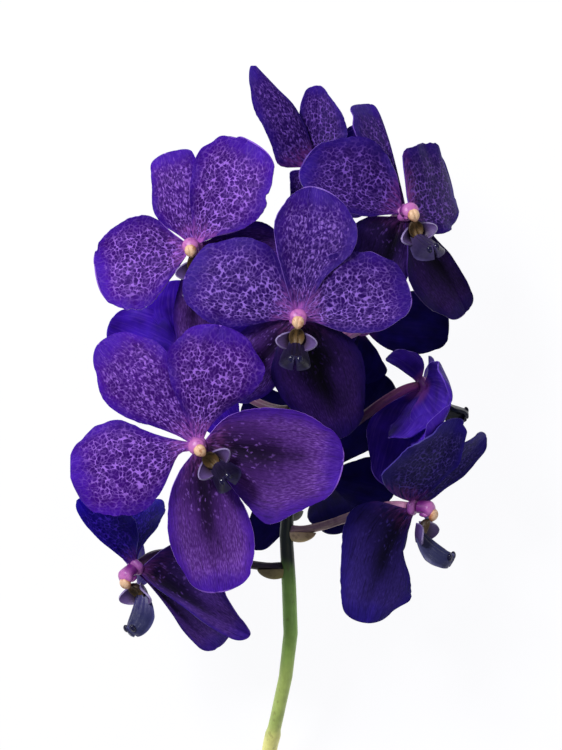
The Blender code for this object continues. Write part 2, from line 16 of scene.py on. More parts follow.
import bpy
from mathutils import Matrix, Vector, noise


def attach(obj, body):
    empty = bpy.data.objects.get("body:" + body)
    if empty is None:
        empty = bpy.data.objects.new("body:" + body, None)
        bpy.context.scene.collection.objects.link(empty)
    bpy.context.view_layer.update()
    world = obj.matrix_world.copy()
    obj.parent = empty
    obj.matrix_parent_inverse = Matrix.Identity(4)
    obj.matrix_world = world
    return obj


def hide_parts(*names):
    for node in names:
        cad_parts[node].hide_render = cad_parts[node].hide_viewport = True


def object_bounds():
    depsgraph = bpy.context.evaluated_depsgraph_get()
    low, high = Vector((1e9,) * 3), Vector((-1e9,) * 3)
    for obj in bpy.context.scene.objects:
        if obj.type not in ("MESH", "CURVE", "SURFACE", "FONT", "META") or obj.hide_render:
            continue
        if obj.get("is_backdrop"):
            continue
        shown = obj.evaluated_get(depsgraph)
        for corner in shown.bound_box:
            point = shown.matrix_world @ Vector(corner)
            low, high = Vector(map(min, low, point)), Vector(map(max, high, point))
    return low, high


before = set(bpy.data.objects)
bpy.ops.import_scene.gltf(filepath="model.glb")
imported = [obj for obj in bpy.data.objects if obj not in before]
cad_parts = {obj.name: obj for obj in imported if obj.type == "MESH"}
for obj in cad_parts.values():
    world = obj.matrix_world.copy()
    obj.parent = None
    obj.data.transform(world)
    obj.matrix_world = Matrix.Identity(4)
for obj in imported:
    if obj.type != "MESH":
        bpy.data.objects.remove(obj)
log = logging.getLogger("vanda")

Shade = tuple[int, int, int]
Place = Callable[[float, float], Vector]

MM = 0.001
BODY = "root"
# Where the frame's origin lies in this script's coordinates
ORIGIN = Vector((1.35, -2.8, 0.0))

# Blades: where their half-widths are given, the grid that each is made of, how far from the
# bloom's middle it starts, its mid groove's depth and half-width, and its height on the hub
STATIONS = (0.0, 0.12, 0.3, 0.5, 0.7, 0.87)
BLADE_ROWS = 40
BLADE_COLS = 28
CLAW = 2.2
GROOVE = 0.5
GROOVE_HALF = 0.24
LAYER = 0.7
# Where along a blade its rows start to round off, and where its tip starts to curl
TIP_FROM = 0.9
CURL_FROM = 0.6
# Half-widths of a plain sepal and a plain petal
SEPAL = (1.5, 4.0, 7.5, 10.5, 11.0, 8.0)
PETAL = (1.5, 4.0, 9.5, 15.0, 16.0, 11.0)

# A cell of the petals' pattern: its width, how much longer it is, and the half-width that it suits
CELL = 1.4
CELL_LONG = 1.2
CELL_HALF = 15.0
# What bends the pattern: the scale of each drift and how far it goes
DRIFTS = ((0.3, 2.4), (1.5, 0.6))

# A bloom's hub, how far off it and off its middle the other pieces stand, and where the lip starts
HUB_RADIUS = 3.4
HUB_HALF = 1.8
SEAT = 0.3
BASE = HUB_HALF + SEAT
LIP_TOP = 4.0

# The stalk: centre and radius
STEM_PATH = (
    (-5.6, -146.0, 2.4, 2.75),
    (-5.2, -134.0, 7.0, 2.65),
    (-4.3, -128.5, 10.6, 2.65),
    (-4.0, -127.0, 11.6, 2.95),
    (-3.0, -121.0, 15.5, 3.0),
    (-2.0, -116.5, 18.7, 3.1),
    (-1.6, -114.5, 20.1, 2.65),
    (-0.4, -109.0, 24.0, 2.6),
    (2.9, -93.0, 32.5, 2.65),
    (4.8, -76.0, 39.0, 2.8),
    (4.2, -58.0, 43.0, 2.8),
    (3.1, -38.0, 45.0, 2.6),
    (4.6, -14.0, 46.5, 2.3),
    (6.4, 16.0, 47.0, 2.1),
    (8.6, 46.0, 47.5, 1.9),
    (11.2, 70.0, 48.5, 1.7),
    (13.4, 82.0, 50.0, 1.5),
)


def tint(shade: Shade) -> tuple[float, ...]:
    """A display colour as the linear colour that a shader takes."""
    shares = [value / 255 for value in shade]
    return (*(s / 12.92 if s <= 0.04045 else ((s + 0.055) / 1.055) ** 2.4 for s in shares), 1.0)


def hump(value: float, middle: float, size: float) -> float:
    """A smooth hump, which is 1 at its middle and almost 0 two sizes away."""
    return math.exp(-(((value - middle) / size) ** 2))


def ramp(value: float, start: float, end: float) -> float:
    """A straight rise from 0 at the start to 1 at the end."""
    return max(0.0, min(1.0, (value - start) / (end - start)))


def ball(share: float, turn: float) -> tuple[float, float, float]:
    """A point of a sphere of radius 1, for a share from pole to pole and a turn in radians."""
    ring = math.sin(math.pi * share)
    return ring * math.cos(turn), ring * math.sin(turn), -math.cos(math.pi * share)


def crowded(steps: int, end: float, power: float) -> list[float]:
    """Places from 0 to the end, closer together near it."""
    return [end * (1.0 - (1.0 - k / steps) ** power) for k in range(steps + 1)]


def even(half: int) -> list[float]:
    """Places from 1 to -1 in even steps."""
    return [1.0 - k / half for k in range(2 * half + 1)]


class Kind(Enum):
    """A blade's kind: how strong its net, dots, fine lines and pale base are, and its height."""

    PETAL = (1.0, 0.3, 0.0, 0.8, LAYER)
    DORSAL = (0.45, 1.0, 0.2, 0.8, -LAYER)
    LATERAL = (0.0, 0.5, 0.7, 0.3, -LAYER)

    def __init__(self, *values: float) -> None:
        """Names the values.

        Args:
            values: The four strengths and the height.
        """
        self.net, self.dots, self.lines, self.flush, self.layer = values


class Tone(Enum):
    """A bloom's colours: its ground, net, margin and claw, and the dull middle of its lower sepals.

    They are partly the blooms' own colours and partly painted shade: the slate, plum and navy tones
    are darker to stand for blooms and sepals that lie in shade.
    """

    VIOLET = ((68, 12, 136), (162, 110, 228), (62, 20, 160), (190, 100, 206), (94, 46, 148))
    PURPLE = ((54, 14, 122), (146, 106, 212), (48, 22, 128), (182, 98, 200), (70, 34, 114))
    INDIGO = ((44, 12, 106), (116, 78, 182), (42, 18, 126), (140, 66, 158), (68, 38, 126))
    # painted shade: the slate tone is darker for a bloom that lies in shade
    SLATE = ((24, 12, 90), (70, 54, 148), (32, 18, 118), (128, 58, 134), (48, 32, 116))
    # painted shade: the plum tone darkens lower sepals that lie in shade
    PLUM = ((18, 4, 66), (70, 42, 120), (18, 4, 78), (108, 50, 128), (42, 16, 84))
    IRIS = ((56, 28, 138), (108, 74, 190), (60, 28, 154), (150, 76, 164), (64, 38, 126))
    COBALT = ((18, 2, 116), (54, 30, 162), (24, 4, 140), (120, 58, 156), (30, 12, 116))
    BLUE = ((56, 16, 150), (110, 64, 204), (58, 20, 164), (110, 56, 170), (54, 20, 130))
    # painted shade: the navy tone darkens the back blooms, which lie in shade
    NAVY_IN_SHADE = ((8, 2, 50), (32, 15, 92), (14, 5, 76), (66, 30, 96), (10, 3, 52))

    def __init__(self, *shades: Shade) -> None:
        """Names the colours.

        Args:
            shades: The five display colours.
        """
        self.ground, self.light, self.margin, self.claw, self.dusk = (tint(shade) for shade in shades)


class Value:
    """A shader socket that can be used in sums, each of which adds a Math node."""

    def __init__(self, nodes: "Nodes", socket: bpy.types.NodeSocket) -> None:
        """Wraps a socket.

        Args:
            nodes: The material's nodes.
            socket: The output socket that holds the value.
        """
        self.nodes = nodes
        self.socket = socket

    def math(self, operation: str, *others: "Value | float") -> "Value":
        """A Math node on this value.

        Args:
            operation: The node's operation.
            others: The other operands.

        Returns:
            The node's result.
        """
        operands = dict(enumerate((self, *others)))
        return self.nodes.add("ShaderNodeMath", {"operation": operation}, operands)

    def __add__(self, other: "Value | float") -> "Value":
        """The sum."""
        return self.math("ADD", other)

    def __mul__(self, other: "Value | float") -> "Value":
        """The product."""
        return self.math("MULTIPLY", other)

    __radd__ = __add__
    __rmul__ = __mul__

    def __sub__(self, other: "Value | float") -> "Value":
        """The difference."""
        return self.math("SUBTRACT", other)

    def __rsub__(self, other: float) -> "Value":
        """The difference from a number."""
        return self.nodes.add("ShaderNodeMath", {"operation": "SUBTRACT"}, {0: other, 1: self})

    def __abs__(self) -> "Value":
        """The absolute value."""
        return self.math("ABSOLUTE")

    def larger(self, other: "Value | float") -> "Value":
        """The larger of two values."""
        return self.math("MAXIMUM", other)

    def smaller(self, other: "Value | float") -> "Value":
        """The smaller of two values."""
        return self.math("MINIMUM", other)

    def step(self, low: float, high: float) -> "Value":
        """A smooth step, which is 0 at low and 1 at high; high may be the smaller one."""
        inputs = {"Value": self, "From Min": low, "From Max": high}
        return self.nodes.add("ShaderNodeMapRange", {"interpolation_type": "SMOOTHSTEP"}, inputs)


class Nodes:
    """One material's nodes, around a Principled shader."""

    def __init__(self, name: str) -> None:
        """Starts a material.

        Args:
            name: The material's name.
        """
        self.material = bpy.data.materials.new(name)
        self.material.use_nodes = True
        self.tree = self.material.node_tree
        self.shader = self.tree.nodes["Principled BSDF"]

    def feed(self, socket: bpy.types.NodeSocket, value: Any) -> None:
        """Links a value to a socket, or sets the socket to a number or a colour.

        Args:
            socket: The input socket.
            value: The value, number or colour.
        """
        if isinstance(value, Value):
            self.tree.links.new(value.socket, socket)
        else:
            socket.default_value = value

    def add(
        self, kind: str, settings: dict[str, Any] | None = None,
        inputs: dict[Any, Any] | None = None, output: Any = 0,
    ) -> Value:
        """Adds a node.

        Args:
            kind: The node's type.
            settings: Its settings, which are set first.
            inputs: Values or links of its sockets, by name or place.
            output: The output socket to return.

        Returns:
            The output as a value.
        """
        node = self.tree.nodes.new(kind)
        for key, value in (settings or {}).items():
            setattr(node, key, value)
        for key, value in (inputs or {}).items():
            self.feed(node.inputs[key], value)
        return Value(self, node.outputs[output])

    def uv(self, layer: str = "UVMap") -> Value:
        """The piece's own UV map of that name."""
        return self.add("ShaderNodeUVMap", {"uv_map": layer})

    def place(self) -> Value:
        """Object coordinates."""
        return self.add("ShaderNodeTexCoord", output="Object")

    def parts(self, vector: Value) -> tuple[Value, ...]:
        """A vector's three parts."""
        node = self.add("ShaderNodeSeparateXYZ", inputs={0: vector}).socket.node
        return tuple(Value(self, output) for output in node.outputs)

    def vector(self, operation: str, first: Value, second: Any) -> Value:
        """A Vector Math node on two vectors."""
        return self.add("ShaderNodeVectorMath", {"operation": operation}, {0: first, 1: second})

    def stretched(self, vector: Value, across: float, along: float, deep: float = 1.0) -> Value:
        """A vector with each part multiplied."""
        return self.vector("MULTIPLY", vector, (across, along, deep))

    def noise(self, vector: Value, scale: float = 1.0, detail: float = 2.0, output: str = "Fac") -> Value:
        """Noise at a place.

        Args:
            vector: Where.
            scale: Cells for each unit of the vector.
            detail: Octaves.
            output: "Fac" for a value, "Color" for three.

        Returns:
            The noise, about 0.5.
        """
        inputs = {"Vector": vector, "Scale": scale, "Detail": detail}
        return self.add("ShaderNodeTexNoise", None, inputs, output)

    def cells(self, vector: Value, output: str = "Distance", feature: str = "F1") -> Value:
        """A flat pattern of uneven cells.

        Args:
            vector: Where; a cell is one unit wide.
            output: "Distance", or "Color" for a cell's own draw.
            feature: What is measured.

        Returns:
            The pattern.
        """
        settings = {"voronoi_dimensions": "2D", "feature": feature}
        return self.add("ShaderNodeTexVoronoi", settings, {"Vector": vector, "Scale": 1.0}, output)

    def mixed(self, first: Any, second: Any, share: Value | float) -> Value:
        """A colour between the first, at a share of 0, and the second, at 1."""
        return self.add("ShaderNodeMix", {"data_type": "RGBA"}, {0: share, 6: first, 7: second}, 2)

    def shaded(self, colour: Any, share: Value | float) -> Value:
        """A colour multiplied by a grey of that share.

        Args:
            colour: The colour.
            share: The grey, from 0 to 1.

        Returns:
            The darker colour.
        """
        grey = self.add("ShaderNodeCombineXYZ", None, {0: share, 1: share, 2: share})
        settings = {"data_type": "RGBA", "blend_type": "MULTIPLY"}
        return self.add("ShaderNodeMix", settings, {0: 1.0, 6: colour, 7: grey}, 2)

    def finish(
        self, colour: Any, roughness: Value | float, height: Value | None = None,
        depth: float = 0.1, gloss: float = 0.5,
    ) -> bpy.types.Material:
        """Sets the shader's sockets.

        Args:
            colour: The base colour.
            roughness: The roughness.
            height: What the bump follows.
            depth: The bump's depth in millimetres.
            gloss: The specular level.

        Returns:
            The material.
        """
        values = {"Base Color": colour, "Roughness": roughness, "Specular IOR Level": gloss}
        if height is not None:
            bump = {"Height": height, "Distance": depth * MM, "Strength": 1.0}
            values["Normal"] = self.add("ShaderNodeBump", None, bump)
        for key, value in values.items():
            self.feed(self.shader.inputs[key], value)
        return self.material


@dataclass(frozen=True)
class FrontFinish:
    """The face of a sepal or petal: a light net or dots on violet, a plain margin and a pale claw.

    Its shade darkens the face as painted shade where it is below 1 and brightens it as painted light
    where it is above 1, which makes lit and shaded copies of one face.
    """

    kind: Kind
    tone: Tone
    shade: float = 1.0

    def material(self) -> bpy.types.Material:
        """Builds the material.

        Returns:
            The material.
        """
        # The name holds the shade, which tells the lit and shaded copies of one face apart
        nodes = Nodes(f"front_{self.kind.name}_{self.tone.name}_{round(self.shade * 100)}".lower())
        across, along, _ = nodes.parts(nodes.uv())
        across = abs(across * 2.0 - 1.0)
        cells = nodes.uv("cells")
        warped = cells
        for scale, far in DRIFTS:
            drift = nodes.vector("SUBTRACT", nodes.noise(cells, scale, output="Color"), (0.5, 0.5, 0.5))
            warped = nodes.vector("ADD", warped, nodes.stretched(drift, far, far, 0.0))
        patch = nodes.noise(cells, 0.17)
        ragged = (nodes.noise(cells, 0.5, 3.0) - 0.5) * 0.7
        outer = across.larger((along - 0.54) * 2.5)
        fade = (outer + ragged).step(0.5, 0.95)
        edge = (outer + ragged * 0.3).step(0.62, 1.05)
        light = self.marks(nodes, warped, patch, along) * (1.0 - fade * 0.85)
        streak = nodes.noise(nodes.stretched(cells, 2.6, 0.16), detail=3.0)
        broad = nodes.noise(nodes.stretched(cells, 1.1, 0.4))
        grain = nodes.noise(nodes.stretched(cells, 3.4, 0.9), detail=3.0)
        middle = self.tone.ground
        if self.kind is Kind.LATERAL:
            middle = self.dusky(nodes, across, along, streak, grain)
        ground = nodes.mixed(middle, self.tone.margin, edge * 0.85)
        # Darker towards the hub, partly the blade's own darker ground and partly painted shade where the
        # blades overlap there; the net's inner zone is darker than the margin too
        depth = (0.62 + 0.55 * along.smaller(1.0)) * (0.78 + 0.26 * fade)
        # painted shade and painted light: the blade's shade scales its ground here and its net below
        ground = nodes.shaded(ground, self.shade * (0.3 + 0.72 * patch + 0.52 * grain) * depth)
        if self.kind.lines:
            ground = nodes.shaded(ground, 1.0 - self.kind.lines * streak.step(0.5, 0.7) * 0.6)
        colour = nodes.mixed(ground, self.tone.light, light * min(1.0, self.shade + 0.1))
        flush = along.step(0.24, 0.02) * (broad.step(0.32, 0.78) + along.step(0.07, 0.0) * 0.6)
        colour = nodes.mixed(colour, self.tone.claw, (flush * self.kind.flush).smaller(0.9))
        height = light * 0.4 + streak + nodes.noise(cells, 5.0) * 0.5
        return nodes.finish(colour, 0.42 + 0.24 * patch, height, depth=0.16, gloss=0.07)

    def dusky(self, nodes: Nodes, across: Value, along: Value, streak: Value, grain: Value) -> Value:
        """The middle of a lower sepal: dark at its base and in its groove, partly its own colour and partly
        painted shade, and paler and stippled outside, partly its own fine flecks and partly a painted
        sheen.

        Args:
            nodes: The material's nodes.
            across: The place from the midline to a margin.
            along: The place from the hub to the tip.
            streak: Long fine streaks.
            grain: Short fine flecks.

        Returns:
            The colour.
        """
        # Dark at the base, partly the sepal's own colour and partly painted shade
        outer = (across * 0.9 + along - 0.15 * streak).step(0.25, 0.95)
        colour = nodes.mixed(nodes.shaded(self.tone.dusk, 0.3), self.tone.dusk, outer)
        # painted shade in the mid groove
        groove = across.step(0.3, 0.02) * along.step(0.85, 0.45)
        colour = nodes.shaded(colour, 1.0 - 0.54 * groove)
        # Pale flecks on the outer part, partly the sepal's own and partly a painted sheen
        stipple_and_sheen = (across * 0.5 + along).step(0.5, 1.0) * grain.step(0.38, 0.72) * across.step(1.0, 0.6)
        return nodes.mixed(colour, self.tone.light, stipple_and_sheen * 0.6)

    def marks(self, nodes: Nodes, warped: Value, patch: Value, along: Value) -> Value:
        """How light each point of the pattern is.

        Args:
            nodes: The material's nodes.
            warped: The pattern's uneven coordinates.
            patch: A slow change over the blade.
            along: The place from the hub to the tip.

        Returns:
            A value from 0 on the ground to 1 on a mark.
        """
        broken = nodes.noise(warped, 0.5, 3.0)
        sparkle = nodes.noise(warped, 1.6)
        long = nodes.stretched(warped, 1.25, 0.7)
        draw = nodes.parts(nodes.cells(long, "Color"))[0]
        dot = (nodes.cells(long) - 0.28 * sparkle - 0.12 * draw).step(0.2, -0.12) * draw.step(0.1, 0.7)
        if self.kind is Kind.LATERAL:
            dot = dot * along.step(0.7, 0.3) * broken.step(0.42, 0.6)
        marks = dot * self.kind.dots * (0.5 + 0.7 * patch)
        if self.kind.net:
            knot = nodes.cells(warped).step(0.42, 0.8)
            edge = nodes.cells(warped, feature="DISTANCE_TO_EDGE")
            line = (edge - 0.15 * knot - 0.15 * broken).step(0.2, -0.14)
            net = line * (0.3 + 0.85 * knot + 0.5 * sparkle) * broken.step(0.28, 0.6) * self.kind.net
            marks = net.larger(marks)
        return marks.smaller(1.0)


@dataclass(frozen=True)
class BackFinish:
    """The reverse of a sepal or petal: plain blue-violet with fine long veins."""

    tone: Tone

    def material(self) -> bpy.types.Material:
        """Builds the material.

        Returns:
            The material.
        """
        nodes = Nodes(f"back_{self.tone.name}".lower())
        cells = nodes.uv("cells")
        along = nodes.parts(nodes.uv())[1]
        vein = nodes.noise(nodes.stretched(cells, 1.7, 0.12), detail=3.0)
        patch = nodes.noise(cells, 0.2)
        ground = nodes.mixed(self.tone.margin, self.tone.light, 0.4 * vein.step(0.45, 0.75))
        ground = nodes.shaded(ground, 1.9 * patch)
        colour = nodes.mixed(ground, self.tone.claw, along.step(0.16, 0.02) * 0.7)
        return nodes.finish(colour, 0.46 + 0.2 * patch, vein, depth=0.14, gloss=0.07)


@dataclass(frozen=True)
class RimHighlightFinish:
    """The thin edge of a sepal or petal, painted lighter than its faces as a painted highlight where the
    edge catches the light.
    """

    tone: Tone

    def material(self) -> bpy.types.Material:
        """Builds the material.

        Returns:
            The material.
        """
        nodes = Nodes(f"rim_{self.tone.name}".lower())
        grain = nodes.noise(nodes.place(), 400.0)
        # painted highlight: the rim is mixed from the margin colour towards the light one
        colour = nodes.mixed(self.tone.margin, self.tone.light, 0.4 + 0.5 * grain)
        return nodes.finish(colour, 0.45, grain, depth=0.05, gloss=0.12)


@dataclass(frozen=True)
class FleshFinish:
    """Waxy flower flesh that goes from one colour at its root to another at its end, with soft blotches."""

    name: str
    root: Shade
    end: Shade
    blotch: Shade
    blotches: float = 0.3
    roughness: float = 0.35
    turn: tuple[float, float] = (0.1, 0.9)
    ribs: float = 0.0

    def material(self) -> bpy.types.Material:
        """Builds the material.

        Returns:
            The material.
        """
        nodes = Nodes(self.name)
        around, along, _ = nodes.parts(nodes.uv())
        spot = nodes.noise(nodes.place(), 520.0, 3.0)
        fine = nodes.noise(nodes.place(), 1900.0)
        colour = nodes.mixed(tint(self.root), tint(self.end), along.step(*self.turn))
        colour = nodes.mixed(colour, tint(self.blotch), spot.step(0.48, 0.72) * self.blotches)
        height = spot * 0.6 + fine * 0.4
        if self.ribs:
            rib = (around * (2 * math.pi * self.ribs)).math("COSINE")
            colour = nodes.shaded(colour, 0.9 + 0.1 * rib)
            height = height + rib * 0.5
        return nodes.finish(colour, self.roughness + 0.12 * fine, height, depth=0.12, gloss=0.45)


@dataclass(frozen=True)
class LobeFinish:
    """A lobe of the lip: one colour at its root, another over its blade, a thin pale rim and fine veins."""

    name: str
    root: Shade
    blade: Shade
    rim: Shade

    def material(self) -> bpy.types.Material:
        """Builds the material.

        Returns:
            The material.
        """
        nodes = Nodes(self.name)
        across, along, _ = nodes.parts(nodes.uv())
        vein = nodes.noise(nodes.stretched(nodes.uv(), 16.0, 1.6), detail=3.0)
        spot = nodes.noise(nodes.place(), 700.0, 3.0)
        colour = nodes.mixed(tint(self.root), tint(self.blade), along.step(0.1, 0.6))
        colour = nodes.shaded(colour, 0.7 + 0.4 * vein + 0.25 * spot)
        edge = abs(across * 2.0 - 1.0).larger(along).step(0.84, 0.98)
        colour = nodes.mixed(colour, tint(self.rim), edge * (0.45 + 0.6 * spot))
        return nodes.finish(colour, 0.34 + 0.16 * spot, vein + spot, depth=0.14, gloss=0.3)


@dataclass(frozen=True)
class StalkFinish:
    """The stalk: yellow at the foot, green, then a dark green among the blooms, which is partly its own
    colour and partly painted shade under the blooms.

    Each change of colour has its start and its end in metres along Y.
    """

    name: str = "stalk_skin"
    straw: Shade = (246, 242, 150)
    changes: tuple[tuple[Shade, float, float], ...] = (
        ((176, 196, 108), -0.118, -0.104),
        ((136, 182, 82), -0.1, -0.066),
        # partly painted shade: darker where the stalk runs under the blooms
        ((40, 52, 36), -0.053, -0.041),
    )
    speck: Shade = (108, 96, 52)

    def material(self) -> bpy.types.Material:
        """Builds the material.

        Returns:
            The material.
        """
        nodes = Nodes(self.name)
        place = nodes.place()
        along = nodes.parts(place)[1] + (nodes.noise(place, 60.0, 3.0) - 0.5) * 0.016
        colour = tint(self.straw)
        for shade, start, end in self.changes:
            colour = nodes.mixed(colour, tint(shade), along.step(start, end))
        fibre = nodes.noise(nodes.stretched(place, 900.0, 26.0, 900.0), detail=3.0)
        mottle = nodes.noise(place, 210.0, 4.0)
        speck = nodes.noise(nodes.stretched(place, 1.0, 0.5), 480.0).step(0.62, 0.72)
        colour = nodes.shaded(colour, 0.6 + 0.3 * fibre + 0.5 * mottle)
        colour = nodes.mixed(colour, tint(self.speck), speck * 0.35)
        return nodes.finish(colour, 0.34 + 0.2 * mottle, fibre + mottle * 0.5, depth=0.12, gloss=0.45)


@dataclass(frozen=True)
class FloorFinish:
    """The plain pale surface that the spray lies on, which glows almost white."""

    name: str = "pale_floor"
    dark: Shade = (52, 52, 53)
    pale: Shade = (60, 60, 61)
    glow: Shade = (250, 250, 252)
    strength: float = 0.985

    def material(self) -> bpy.types.Material:
        """Builds the material.

        Returns:
            The material.
        """
        nodes = Nodes(self.name)
        nodes.feed(nodes.shader.inputs["Emission Color"], tint(self.glow))
        nodes.feed(nodes.shader.inputs["Emission Strength"], self.strength)
        grain = nodes.noise(nodes.place(), 30.0, 3.0)
        return nodes.finish(nodes.mixed(tint(self.dark), tint(self.pale), grain), 0.7)


BOSS = FleshFinish("boss_flesh", (120, 50, 140), (178, 100, 180), (110, 40, 130))
HOOD = FleshFinish("hood_flesh", (116, 34, 126), (202, 116, 192), (142, 58, 150), 0.7, 0.32, (0.35, 0.85))
CAP = FleshFinish("cap_wax", (196, 124, 80), (236, 194, 158), (176, 108, 76), 0.85, 0.36, (0.4, 0.75))
THROAT = FleshFinish("throat_flesh", (44, 32, 26), (96, 72, 38), (30, 16, 20), 0.85, 0.5, (0.4, 0.8))
EAR = LobeFinish("side_lobe_flesh", (62, 42, 92), (88, 70, 128), (130, 114, 166))
EAR_INSIDE = LobeFinish("side_lobe_inside", (52, 38, 54), (92, 70, 128), (130, 112, 164))
EAR_RIM = FleshFinish("side_lobe_rim", (92, 76, 130), (146, 130, 180), (84, 68, 122))
KNOB = FleshFinish("tip_gloss", (14, 12, 40), (20, 16, 56), (8, 8, 30), 0.4, 0.12)
# The finishes of one bloom where they aren't the others'
# The midlobe colours differ from bloom to bloom partly as painted shade and painted light: the darker ones
# stand for lips lying in shade, the paler ones for lips in the light
TONGUE = LobeFinish("midlobe_flesh", (34, 24, 60), (16, 11, 38), (38, 30, 74))
TONGUES = {
    "a": LobeFinish("midlobe_grey", (84, 74, 118), (52, 50, 92), (90, 82, 132)),
    "d": LobeFinish("midlobe_lilac", (58, 46, 88), (40, 32, 68), (66, 56, 104)),
    "f": LobeFinish("midlobe_slate", (58, 58, 98), (38, 40, 78), (80, 80, 124)),
    "g": LobeFinish("midlobe_dark", (20, 26, 40), (14, 20, 34), (30, 34, 56)),
    "h": LobeFinish("midlobe_blue", (60, 54, 112), (40, 42, 84), (74, 74, 126)),
}
OVARY = FleshFinish(
    "pedicel_flesh", (92, 74, 62), (168, 100, 160), (110, 66, 96), 0.5, 0.4, (0.05, 0.7), 6.0,
)
OVARIES = {
    # Its own tan and mauve, painted paler as painted light to offset the shade that it lies in
    "f": FleshFinish(
        "pedicel_tan", (190, 158, 146), (204, 134, 178), (140, 98, 108), 0.5, 0.4, (0.3, 0.9), 6.0,
    ),
    "g": FleshFinish(
        "pedicel_maroon", (52, 26, 56), (190, 92, 160), (84, 44, 90), 0.5, 0.38, (0.45, 1.0), 6.0,
    ),
    "h": FleshFinish(
        "pedicel_olive", (44, 38, 40), (96, 52, 92), (66, 48, 52), 0.5, 0.4, (0.4, 1.0), 6.0,
    ),
}
BRACT = FleshFinish("bract_dark", (58, 56, 40), (42, 42, 34), (34, 32, 28), 0.6, 0.55)
BRACTS = {
    # These bracts are their own tan and olive painted paler, as painted light where they lie in shade
    "f": FleshFinish("bract_paper", (236, 212, 156), (202, 176, 120), (150, 122, 82), 0.6, 0.55),
    "h": FleshFinish("bract_olive", (150, 138, 84), (112, 102, 66), (84, 72, 50), 0.5, 0.55),
}


class Workshop:
    """Makes the meshes that the pieces are built from, and keeps one material of each finish."""

    def __init__(self, box: list[Any]) -> None:
        """Starts with no material made.

        Args:
            box: The two corners of the solid's box, which no piece leaves.
        """
        self.low, self.high = (Vector(corner) for corner in box)
        self.made: dict[Any, bpy.types.Material] = {}

    def dress(self, obj: bpy.types.Object, *finishes: Any) -> None:
        """Gives an object one material slot for each finish.

        Args:
            obj: The object.
            finishes: The finishes, in the order of the slots.
        """
        for finish in finishes:
            if finish not in self.made:
                self.made[finish] = finish.material()
            obj.data.materials.append(self.made[finish])

    def alone(self, obj: bpy.types.Object) -> None:
        """Selects one object alone and makes it active.

        Args:
            obj: The object.
        """
        bpy.ops.object.select_all(action="DESELECT")
        obj.select_set(True)
        bpy.context.view_layer.objects.active = obj

    def sheet(self, name: str, rows: list[float], cols: list[float], place: Place) -> bpy.types.Object:
        """A grid whose points are moved onto a surface.

        Args:
            name: The object's name.
            rows: Values along, one for each row of points.
            cols: Values across, one for each column of points.
            place: Gives the point in millimetres for a value along and one across.

        Returns:
            The new object.
        """
        bpy.ops.object.select_all(action="DESELECT")
        last_col, last_row = len(cols) - 1, len(rows) - 1
        bpy.ops.mesh.primitive_grid_add(x_subdivisions=last_col, y_subdivisions=last_row, size=2.0)
        obj = bpy.context.object
        obj.name = name
        for vert in obj.data.vertices:
            col = round((vert.co.x + 1) / 2 * last_col)
            row = round((vert.co.y + 1) / 2 * last_row)
            vert.co = (place(rows[row], cols[col]) - ORIGIN) * MM
        return obj

    def skin(self, name: str, segments: int, rings: int, place: Place, finish: Any) -> bpy.types.Object:
        """A closed sphere whose points are moved onto a surface.

        Args:
            name: The object's name.
            segments: Points round it.
            rings: Steps from pole to pole.
            place: Gives the point in millimetres for a share from pole to pole and a turn in radians.
            finish: Its finish.

        Returns:
            The new object, with its faces outwards.
        """
        bpy.ops.object.select_all(action="DESELECT")
        bpy.ops.mesh.primitive_uv_sphere_add(segments=segments, ring_count=rings, radius=1.0)
        obj = bpy.context.object
        obj.name = name
        for vert in obj.data.vertices:
            share = math.acos(max(-1.0, min(1.0, -vert.co.z))) / math.pi
            vert.co = (place(share, math.atan2(vert.co.y, vert.co.x)) - ORIGIN) * MM
        bpy.ops.object.mode_set(mode="EDIT")
        bpy.ops.mesh.select_all(action="SELECT")
        bpy.ops.mesh.normals_make_consistent(inside=False)
        bpy.ops.object.mode_set(mode="OBJECT")
        bpy.ops.object.shade_smooth()
        self.dress(obj, finish)
        return obj

    def thicken(self, obj: bpy.types.Object, thickness: float, *finishes: Any) -> bpy.types.Object:
        """Gives a sheet its thickness and its finishes.

        Args:
            obj: The sheet.
            thickness: In millimetres.
            finishes: One for all of it, or one each for its face, its back and its rim.

        Returns:
            The same object.
        """
        self.dress(obj, *finishes)
        self.alone(obj)
        solid = obj.modifiers.new("thickness", "SOLIDIFY")
        solid.thickness = thickness * MM
        solid.offset = 0.0
        if len(finishes) > 1:
            solid.material_offset = 1
            solid.material_offset_rim = 2
        bpy.ops.object.modifier_apply(modifier=solid.name)
        bpy.ops.object.shade_smooth_by_angle(angle=math.radians(50.0))
        return obj

    def joined(self, name: str, pieces: list[bpy.types.Object]) -> bpy.types.Object:
        """Joins pieces into the first of them and names it.

        Args:
            name: The new name.
            pieces: The pieces.

        Returns:
            The joined object.
        """
        self.alone(pieces[0])
        for piece in pieces:
            piece.select_set(True)
        bpy.ops.object.join()
        pieces[0].name = name
        return pieces[0]

    def settle(self, obj: bpy.types.Object, node: str) -> None:
        """Keeps a finished piece inside the solid's box, hangs it on the body and hides the CAD part it
        stands for.

        Args:
            obj: The piece.
            node: The CAD node that it stands for.
        """
        for vert in obj.data.vertices:
            inside = (max(low, min(high, v)) for low, high, v in zip(self.low, self.high, vert.co))
            vert.co = Vector(inside)
        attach(obj, BODY)
        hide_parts(node)
        log.info("%s: %d faces, stands for %s", obj.name, len(obj.data.polygons), node)


